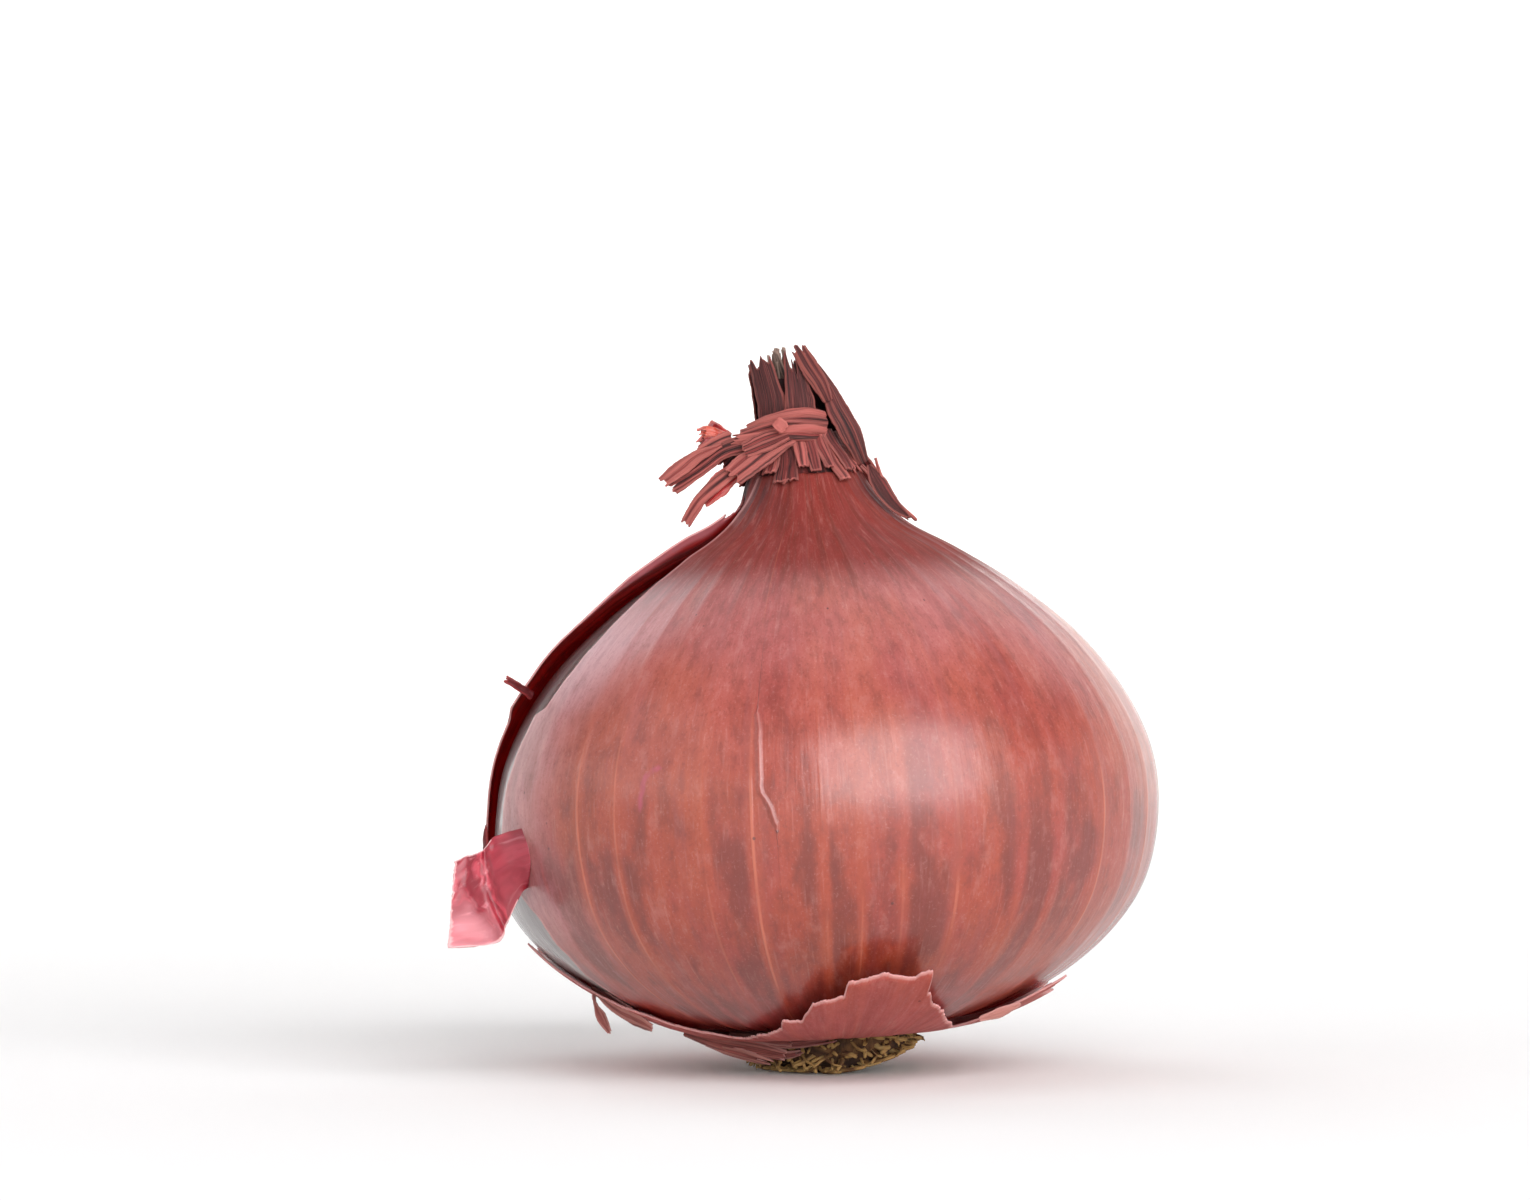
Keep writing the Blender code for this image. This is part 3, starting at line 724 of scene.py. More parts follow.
@dataclass(frozen=True)
class Shred:
    """A dry shred of leaf sheath along a path, cupped across its width, ribbed and frayed at its end.

    The path and widths are in millimetres, and the facings say how its outer face looks along it; one facing
    holds all along.
    """

    path: Table
    facings: Table
    widths: tuple[float, ...]
    number: int
    cup: float = 0.08
    fray: float = 0.06
    tone: float = 0.5
    crinkle: float = 0.10
    ribs: float = 0.0
    rib: float = 0.10
    columns: int = 18
    rows: int = 40

    def lay(self, work: SheetWork) -> None:
        """Lays the shred's sheet."""
        length = sum((Vector(b) - Vector(a)).length for a, b in zip(self.path, self.path[1:])) * MM
        seed = self.number * 3.7

        def place(u: float, v: float) -> Spot:
            """The spot at u across and v along."""
            reach = self.fray * (0.6 + ripple(u * 4.3, seed, 1.0) + abs(ripple(u * 17.0, seed, 2.0)))
            here = v * (1.0 - max(reach, 0.0) * v**3)
            run = (on_spline(self.path, here + 0.02) - on_spline(self.path, here - 0.02)).normalized()
            facing = on_spline(self.facings * 2 if len(self.facings) == 1 else self.facings, here)
            facing = (facing - run * facing.dot(run)).normalized()
            width = on_spline([(value, 0.0) for value in self.widths], here).x
            across = 2 * u - 1
            ragged = wavering(here * 6, seed + 20 + math.copysign(1, across), 0.10)
            ragged += wavering(here * 23, seed + 30 + math.copysign(1, across), 0.06)
            width *= 1.0 + ragged * abs(across)
            wrinkle = ripple(u * 3.2, here * 5.0, seed) + 0.5 * ripple(u * 8.0, here * 3.0, seed + 5)
            turns = self.ribs * u + 0.35 * wavering(here * 2, seed, 1.0)
            groove = 0.5 - 0.5 * math.cos(2 * math.pi * turns)
            sink = self.cup * width * across**2 - 0.35 - wrinkle * self.crinkle
            sink -= self.rib * (groove**0.5 - 1.0)
            point = on_spline(self.path, here) + run.cross(facing) * across * width / 2 - facing * sink
            edge = min((1 - v) * length, (1 - abs(across)) * width * MM / 2)
            # The tone is darker in the furrows between the ribs and paler on the ribs: painted shade.
            return Spot(point * MM, facing, (u - 0.5) * width * MM + self.number * 0.01, here * length,
                        edge=edge, tone=self.tone + (groove - 0.5) * 0.55)

        work.lay(self.columns, self.rows, place)


def shredded(name: str, shreds: Sequence[Shred], finishes: Sequence[Finish],
             thickness: float) -> bpy.types.Object:
    """Makes one piece of several shreds.

    Args:
        name: the piece's name.
        shreds: what it is made of.
        finishes: of their outside, their inside and their torn edge.
        thickness: of each, in metres.

    Returns:
        The piece.
    """
    work = SheetWork()
    for shred in shreds:
        shred.lay(work)
    return work.piece(name, finishes, thickness)


@dataclass
class Bulb:
    """The fleshy bulb in its taut inner skin, which shows where the outer skin is torn."""

    lift: float = -0.00042
    top: float = 0.885
    columns: int = 180
    rows: int = 90
    seam: float = 60.0

    def build(self) -> bpy.types.Object:
        """Builds the bulb as one closed piece."""
        work = SheetWork()

        def place(u: float, v: float) -> Spot:
            """The spot at u across and v along."""
            azimuth, share = self.seam + 360.0 * u, v * self.top
            lane = FORM.lane(azimuth, share)
            here = (azimuth + 180.0) % 360.0 - 180.0
            lift = self.lift + FORM.relief(azimuth, share, lane) - FORM.hollow(here, share)
            point = FORM.point(azimuth, share, lift)
            return Spot(point, turned(azimuth), FORM.girth(azimuth), FORM.station(share)[4], lane)

        work.lay(self.columns, self.rows, place)
        work.close()
        return work.piece("bulb_inner_skin", [Finish.INNER], node="bulb")


@dataclass
class OuterSkin:
    """The copper red skin that wraps the bulb, torn open down the left."""

    thickness: float = 0.0002
    front_tear: Table = (
        (0.00, -54.0), (0.12, -61.0), (0.26, -60.5), (0.31, -61.5), (0.36, -68.0), (0.40, -69.0), (0.46, -66.5),
        (0.535, -64.5), (0.55, -64.5), (0.556, -61.5), (0.64, -57.5), (0.77, -54.5), (1.00, -52.0),
    )
    back_tear: float = 220.0
    seam: float = -50.0
    close_end: float = 76.0
    torn_columns: int = 16
    close_step: float = 0.6
    far_step: float = 1.7
    rows: int = 118
    jag: float = 0.7
    # The wrinkle on the front, as azimuth and share along it, and the stain to its left.
    wrinkle: Table = (
        (-7.8, 0.41), (-8.8, 0.437), (-10.2, 0.452), (-10.3, 0.50), (-10.7, 0.545))
    stain: Table = ((-31.0, 0.436), (-30.0, 0.476), (-27.6, 0.484))
    # Each painted shade, dark grey: azimuth, share, half its width in degrees, half its height in shares, and
    # strength. They lie round the neck's foot, and the last beside the flap's root.
    painted_shades: Table = (
        (-44.0, 0.93, 26.0, 0.10, 0.9), (-16.0, 0.90, 12.0, 0.07, 0.35), (70.0, 0.95, 40.0, 0.08, 0.4),
        (150.0, 0.92, 50.0, 0.09, 0.5), (-48.0, 0.76, 16.0, 0.10, 0.25), (-55.0, 0.355, 10.0, 0.05, 0.55),
    )

    def azimuths(self, share: float) -> list[float]:
        """The columns' azimuths at a share, from the torn edge round to the back."""
        edge = between(self.front_tear, share)[0]
        edge += self.jag * (wavering(share * 34, 1.0, 1.0) + wavering(share * 110, 2.0, 0.5))
        torn = [edge + (self.seam - edge) * (step / self.torn_columns) ** 1.3
                for step in range(self.torn_columns)]
        close = round((self.close_end - self.seam) / self.close_step)
        far = round((self.back_tear - self.close_end) / self.far_step)
        return (torn + [self.seam + self.close_step * step for step in range(close)]
                + [self.close_end + (self.back_tear - self.close_end) * step / far for step in range(far + 1)])

    def painted_shade_there(self, azimuth: float, share: float) -> float:
        """How dark and grey the skin is painted there, as shade: by the neck, most on the left, and at the fold
        where the flap grows.
        """
        total = 0.0
        for where, height, wide, high, strength in self.painted_shades:
            away = math.hypot((azimuth - where) / wide, (share - height) / high)
            total += strength * max(1.0 - away, 0.0)
        return min(total * 1.6, 1.0)

    def build(self) -> bpy.types.Object:
        """Builds the skin as one thin sheet."""
        work = SheetWork()
        columns = len(self.azimuths(0.5)) - 1
        by_row = {row: self.azimuths(row / self.rows) for row in range(self.rows + 1)}

        def crease(azimuth: float, share: float) -> float:
            """Metres to the wrinkle, less than nothing on its left."""
            rise = [(point[1], point[0]) for point in self.wrinkle]
            middle = between(rise, share)[0] + wavering(share * 60, 3.0, 0.25)
            beyond = max(rise[0][0] - share, share - rise[-1][0], 0.0)
            return FORM.girth(azimuth - middle) + math.copysign(beyond * 0.1, azimuth - middle)

        def stain(azimuth: float, share: float) -> float:
            """Metres to the stain."""
            flat = [(FORM.girth(place[0]), FORM.station(place[1])[4]) for place in self.stain]
            here = (FORM.girth(azimuth) + wavering(share * 80, 4.0, 0.0002), FORM.station(share)[4])
            return min(segment_distance(here, *pair) for pair in zip(flat, flat[1:]))

        def place(u: float, v: float) -> Spot:
            """The spot at u across and v along."""
            azimuths = by_row[round(v * self.rows)]
            azimuth = azimuths[round(u * columns)]
            lane = FORM.lane(azimuth, v)
            radius, _, _, _, along = FORM.station(v)
            edge = min(azimuth - azimuths[0], azimuths[-1] - azimuth)
            on_front = -40.0 < azimuth < 10.0
            return Spot(
                FORM.point(azimuth, v, FORM.relief(azimuth, v, lane)), turned(azimuth),
                FORM.girth(azimuth), along, lane, math.radians(edge) * radius,
                crease(azimuth, v) if on_front else 0.02, stain(azimuth, v) if on_front else 0.02,
                self.painted_shade_there(azimuth, v))

        work.lay(columns, self.rows, place)
        finishes = (Finish.OUTER, Finish.LINING, Finish.TORN)
        return work.piece("outer_papery_skin", finishes, self.thickness, "outer_skin")


@dataclass
class LooseSkin:
    """The outermost skin, which wraps the back and stands off the bulb along its torn edge on the left."""

    thickness: float = 0.0002
    cad_skin: float = 0.0006
    foot: Table = ((0.0, 0.37), (0.2, 0.31), (0.5, 0.25), (1.0, 0.29))
    top: float = 0.88
    top_rise: float = 0.075
    edge: Table = (
        (0.25, -88.0, 0.0001), (0.37, -86.0, 0.0004), (0.49, -83.0, 0.0009), (0.545, -80.0, 0.0012),
        (0.555, -76.0, 0.0019), (0.63, -72.0, 0.0021), (0.72, -66.0, 0.0021), (0.80, -60.0, 0.0016),
        (0.88, -57.0, 0.0008),
    )
    lift: Table = (
        (-220.0, -0.00025), (-212.0, 0.0), (-196.0, 0.00048), (-130.0, 0.00048), (-116.0, -0.0005),
        (0.0, -0.0005),
    )
    end: float = -219.0
    red_tabs: tuple[Shred, ...] = (
        Shred(((-33.0, -8.0, 41.2), (-34.2, -9.2, 42.0), (-35.9, -10.0, 43.1)), ((-0.1, -0.9, 0.4),), (1.1,
              1.0, 0.8), 120, 0.3, 0.1, 0.1, 0.25, rows=16),
        Shred(((-38.3, -1.6, 23.6), (-38.3, -3.4, 25.1), (-37.9, -4.8, 27.0)), ((-0.8, -0.6, 0.1),), (1.4,
              1.1, 0.3), 121, 0.3, 0.1, 0.1, 0.15, rows=12),
    )
    rim_width: float = 26.0
    columns: int = 150
    rows: int = 90

    def build(self) -> bpy.types.Object:
        """Builds the skin as one thin sheet."""
        work = SheetWork()

        def place(u: float, v: float) -> Spot:
            """The spot at u across and v along."""
            foot = between(self.foot, u)[0] + wavering(u * 60, 5.0, 0.009) + wavering(u * 200, 6.0, 0.004)
            foot += wavering(u * 12, 20.0, 0.018)
            top = self.top + wavering(u * 9, 9.0, 0.022) + wavering(u * 60, 10.0, 0.010)
            top += self.top_rise * smooth((u - 0.06) / 0.22)
            share = foot + v * (top - foot)
            front, stand_off = between(self.edge, share)
            front += wavering(share * 40, 7.0, 0.9) + wavering(share * 120, 8.0, 0.4)
            end = self.end + wavering(share * 16, 21.0, 2.6) + wavering(share * 70, 22.0, 1.0)
            azimuth = front + (end - front) * u**1.35
            rim = max(1.0 - (front - azimuth) / self.rim_width, 0.0)
            lane = FORM.lane(azimuth, share)
            lift = between(self.lift, azimuth)[0] + stand_off * rim**1.3 + self.cad_skin
            lift -= FORM.hollow(azimuth, share) + 0.0005 * smooth((share - 0.89) / 0.06)
            radius, _, _, _, along = FORM.station(share)
            edge = min(math.radians(front - azimuth) * radius, along - FORM.station(foot)[4] + 0.0002)
            return Spot(
                FORM.point(azimuth, share, lift + FORM.relief(azimuth, share, lane)), turned(azimuth),
                FORM.girth(azimuth), along, lane, edge)

        work.lay(self.columns, self.rows, place)
        finishes = (Finish.LOOSE, Finish.LINING, Finish.TORN)
        shredded("loose_red_tabs", self.red_tabs, (Finish.SPLINTER,) * 3, 0.00018)
        return work.piece("loose_papery_skin", finishes, self.thickness, "loose_skin")


@dataclass
class BaseSkin:
    """The ragged cup of torn skin round the roots, with the flap that stands off the front, and shards."""

    thickness: float = 0.00022
    cad_skin: float = 0.0006
    foot: float = 0.02
    foot_lift: float = 0.00042
    # The upper edge, as azimuth, share, lift and how far it stands off.
    edge: Table = (
        (-180.0, 0.17, 0.00042, 0.0003), (-140.0, 0.20, 0.00042, 0.0003), (-116.0, 0.23, 0.00042, 0.0002),
        (-96.0, 0.25, -0.00040, 0.0001), (-84.0, 0.26, -0.00050, 0.0001), (-74.0, 0.21, -0.00040, 0.0001),
        (-66.0, 0.18, -0.00020, 0.0002), (-60.0, 0.16, 0.00000, 0.0003), (-54.0, 0.15, 0.00020, 0.0003),
        (-50.0, 0.12, 0.00030, 0.0003), (-40.0, 0.095, 0.00042, 0.0004), (-32.0, 0.075, 0.00042, 0.0006),
        (-17.0, 0.105, 0.00042, 0.0016), (-14.0, 0.112, 0.00042, 0.0018), (-12.4, 0.136, 0.00042, 0.0019),
        (-7.5, 0.132, 0.00042, 0.0021), (-6.5, 0.150, 0.00042, 0.0023), (-4.3, 0.172, 0.00042, 0.0025),
        (-2.0, 0.180, 0.00042, 0.0026), (2.4, 0.188, 0.00042, 0.0028), (2.7, 0.212, 0.00042, 0.0029),
        (6.0, 0.218, 0.00042, 0.0030), (9.3, 0.226, 0.00042, 0.0030), (15.0, 0.216, 0.00042, 0.0030),
        (16.4, 0.226, 0.00042, 0.0030), (18.2, 0.224, 0.00042, 0.0030), (18.7, 0.190, 0.00042, 0.0028),
        (21.5, 0.165, 0.00042, 0.0025), (26.0, 0.140, 0.00042, 0.0022), (31.0, 0.115, 0.00042, 0.0016),
        (41.0, 0.085, 0.00042, 0.0010), (46.0, 0.066, 0.00042, 0.0006), (49.0, 0.058, 0.00042, 0.0003),
        (55.0, 0.115, 0.00042, 0.0005), (62.5, 0.185, 0.00042, 0.0007), (65.0, 0.150, 0.00042, 0.0004),
        (80.0, 0.14, 0.00042, 0.0002), (110.0, 0.13, 0.00042, 0.0003),
        (140.0, 0.18, 0.00042, 0.0005), (180.0, 0.17, 0.00042, 0.0003),
    )
    columns: int = 1100
    rows: int = 16
    jag: float = 0.0045
    # The shards on the lower left: beside the roots, at the rim, and one that hangs by a thread; then one on
    # the right and two at the back.
    shards: tuple[Shred, ...] = (
        Shred(((-16.4, -7.2, 4.6), (-13.0, -8.6, 3.7), (-9.0, -9.3, 3.0), (-5.2, -9.3, 2.2)),
              ((-0.1, -0.8, -0.5),), (1.0, 2.0, 2.2, 1.4), 130, tone=0.55, ribs=2.0),
        Shred(((-14.0, -7.6, 3.6), (-11.6, -8.6, 2.8), (-8.8, -8.9, 2.0), (-6.4, -8.6, 1.3)),
              ((-0.1, -0.8, -0.5),), (1.0, 1.4, 1.3, 0.7), 131, fray=0.2, tone=0.75, ribs=2.0),
        Shred(((-11.5, -9.3, 4.7), (-8.0, -10.2, 4.2), (-4.6, -10.3, 3.6)), ((-0.1, -1.0, 0.0),), (0.8, 1.3,
              0.8), 132, tone=0.15, ribs=1.0),
        Shred(((-9.0, -9.4, 3.9), (-5.6, -9.8, 3.5), (-2.2, -9.9, 3.7), (0.6, -9.8, 4.1)),
              ((0.0, -1.0, -0.2),), (0.7, 1.0, 0.8, 0.5), 133, fray=0.2, tone=0.25, ribs=2.0),
        Shred(((-7.6, -8.9, 2.7), (-5.4, -9.2, 2.3), (-3.4, -9.3, 2.7)), ((0.0, -1.0, -0.3),), (0.8, 1.0,
              0.5), 134, fray=0.2, tone=0.5, ribs=2.0),
        Shred(((-26.3, -6.2, 9.2), (-24.0, -9.4, 7.7), (-21.8, -11.4, 6.5), (-19.6, -12.4, 5.4)),
              ((-0.6, -0.6, -0.5),), (1.4, 2.4, 2.4, 1.0), 135, tone=0.80, ribs=2.0),
        Shred(((-26.2, -6.6, 8.8), (-26.1, -7.0, 7.6), (-25.4, -7.5, 6.2), (-24.4, -7.9, 4.4)),
              ((-0.3, -1.0, 0.0),), (0.3, 0.35, 1.2, 0.4), 136, tone=0.45),
        Shred(((15.2, -15.4, 6.6), (17.5, -14.2, 7.2), (19.8, -13.0, 8.1)), ((0.4, -0.9, -0.2),), (0.5, 1.1,
              0.4), 137, tone=1.4),
        Shred(((9.0, 11.0, 3.6), (5.0, 12.6, 3.0), (1.0, 12.6, 2.2)), ((0.2, 0.9, -0.4), (0.1, 0.9, -0.4)),
              (1.6, 2.2, 1.4), 139, tone=0.6, ribs=2.0),
        Shred(((-6.0, 12.0, 3.8), (-10.0, 11.0, 3.1), (-13.0, 9.0, 3.6)), ((-0.3, 0.9, -0.4),
              (-0.5, 0.8, -0.4)), (1.4, 2.0, 1.0), 140, tone=0.8, ribs=2.0),
    )
    split: float = 0.15
    # How much deeper the edge is torn round the back, and how much less on the front flap.
    back_jag: float = 2.4
    flap_jag: float = 0.7

    def build(self) -> bpy.types.Object:
        """Builds the cup as one thin sheet, split once at the back."""
        work = SheetWork()

        def place(u: float, v: float) -> Spot:
            """The spot at u across and v along."""
            azimuth = -180.0 + self.split + u * (360.0 - 2 * self.split)
            edge, lift, stand_off = between(self.edge, azimuth)
            ragged = wavering(azimuth * 0.55, 11.0, 1.0) + wavering(azimuth * 1.3, 12.0, 0.9)
            ragged = round(ragged * 2.2) / 2.2 * 0.6
            ragged += wavering(azimuth * 3.1, 14.0, 0.6) + wavering(azimuth * 6.5, 15.0, 0.4)
            behind = smooth((abs(azimuth) - 68.0) / 35.0)
            calm = self.flap_jag if -4.0 < azimuth < 18.4 else 1.0 + self.back_jag * behind
            edge += (wavering(azimuth * 0.10, 16.0, 0.022) + wavering(azimuth * 0.31, 17.0, 0.012)) * behind
            share = self.foot + v * (edge + ragged * self.jag * calm - self.foot)
            lift = self.foot_lift + (lift - self.foot_lift) * min(v * 2, 1.0)
            lane = FORM.lane(azimuth, share)
            curl = wavering(azimuth * 0.11, 13.0, 0.0003) * v * v
            point = FORM.point(azimuth, share, lift + self.cad_skin + FORM.relief(azimuth, share, lane))
            point += turned(azimuth) * (stand_off + curl * (0.4 if stand_off < 0.0005 else 1.0)) * v**1.4
            along = FORM.station(share)[4]
            top = FORM.station(edge + ragged * self.jag * calm)[4]
            return Spot(point, turned(azimuth), FORM.girth(azimuth), along, lane, max(top - along, 0.0))

        work.lay(self.columns, self.rows, place)
        finishes = (Finish.REMNANT, Finish.LINING, Finish.TORN)
        shredded("base_shards", self.shards, (Finish.SHARD, Finish.SHARD, Finish.TORN), 0.00018)
        return work.piece("base_ragged_skin", finishes, self.thickness, "base_skin")


@dataclass
class CurledFlap:
    """The thin pink flap that curls away from the outer skin's edge on the lower left."""

    thickness: float = 0.00018
    cad_skin: float = 0.0006
    # From its root on the outer skin, over the bulb's limb and a fold, to its ragged end, each from the top.
    curves: tuple[Table, ...] = (
        ((-33.4, -18.8, 27.2), (-32.6, -19.7, 24.0), (-33.2, -17.6, 20.8)),
        ((-36.5, -16.5, 26.2), (-34.8, -18.4, 23.0), (-33.7, -18.4, 20.2)),
        ((-38.0, -17.4, 24.7), (-37.2, -18.2, 21.2), (-35.2, -18.8, 17.0)),
        ((-39.5, -16.4, 24.1), (-39.2, -18.2, 19.6), (-36.2, -19.4, 15.0)),
        ((-41.0, -16.9, 23.5), (-41.2, -18.8, 19.0), (-41.5, -19.6, 14.4)),
    )
    columns: int = 44
    rows: int = 44
    crinkle: float = 0.00030

    def build(self) -> bpy.types.Object:
        """Builds the flap as one thin crinkled sheet."""
        work = SheetWork()

        def flat(u: float, v: float) -> Vector:
            """A point of the flap before it is crinkled."""
            return on_spline([on_spline(curve, u) for curve in self.curves], v) * MM

        def place(u: float, v: float) -> Spot:
            """The spot at u across and v along."""
            ragged = 1.0 + wavering(u * 9, 15.0, 0.06) + wavering(u * 30, 16.0, 0.03) if v > 0.5 else 1.0
            side = wavering(v * 8, 17.0, 0.025) + wavering(v * 27, 18.0, 0.02) * v
            v_here, u_here = v * (1.0 + (ragged - 1.0) * v), u + side * (2 * u - 1)
            along = flat(u_here, v_here + 0.02) - flat(u_here, v_here - 0.02)
            sideways = flat(u_here + 0.02, v_here) - flat(u_here - 0.02, v_here)
            facing = sideways.cross(along).normalized()
            if facing.y > 0:
                facing.negate()
            bend = ripple(u * 3.1, v * 2.2, 3.0) + 0.4 * ripple(u * 9, v * 7, 5.0)
            fold = math.exp(-(((v - 0.45 - 0.1 * u) / 0.05) ** 2)) * 0.0005
            point = flat(u_here, v_here) + facing * (
                0.0002 + bend * self.crinkle * smooth(v * 2.5 - 0.3) - fold)
            edge = min(1 - v, u, 1 - u) * 0.008 if v > 0.3 else 0.008
            # The tone is painted light and shade: darker from the root over the limb to the fold, a painted
            # shadow; paler towards the free end, most low down, painted light coming through it; and paler on
            # the crinkle's bulges, darker in its hollows.
            tone = 0.5 + 0.45 * smooth((v - 0.55) / 0.3) * (0.4 + 0.6 * u) - 0.5 * smooth((0.6 - v) / 0.2)
            return Spot(point, facing, u * 0.009, v * 0.008, edge=edge, tone=tone + bend * 0.25)

        work.lay(self.columns, self.rows, place)
        finishes = (Finish.PETAL, Finish.PETAL, Finish.TORN)
        return work.piece("curled_thin_flap", finishes, self.thickness, "curled_flap")


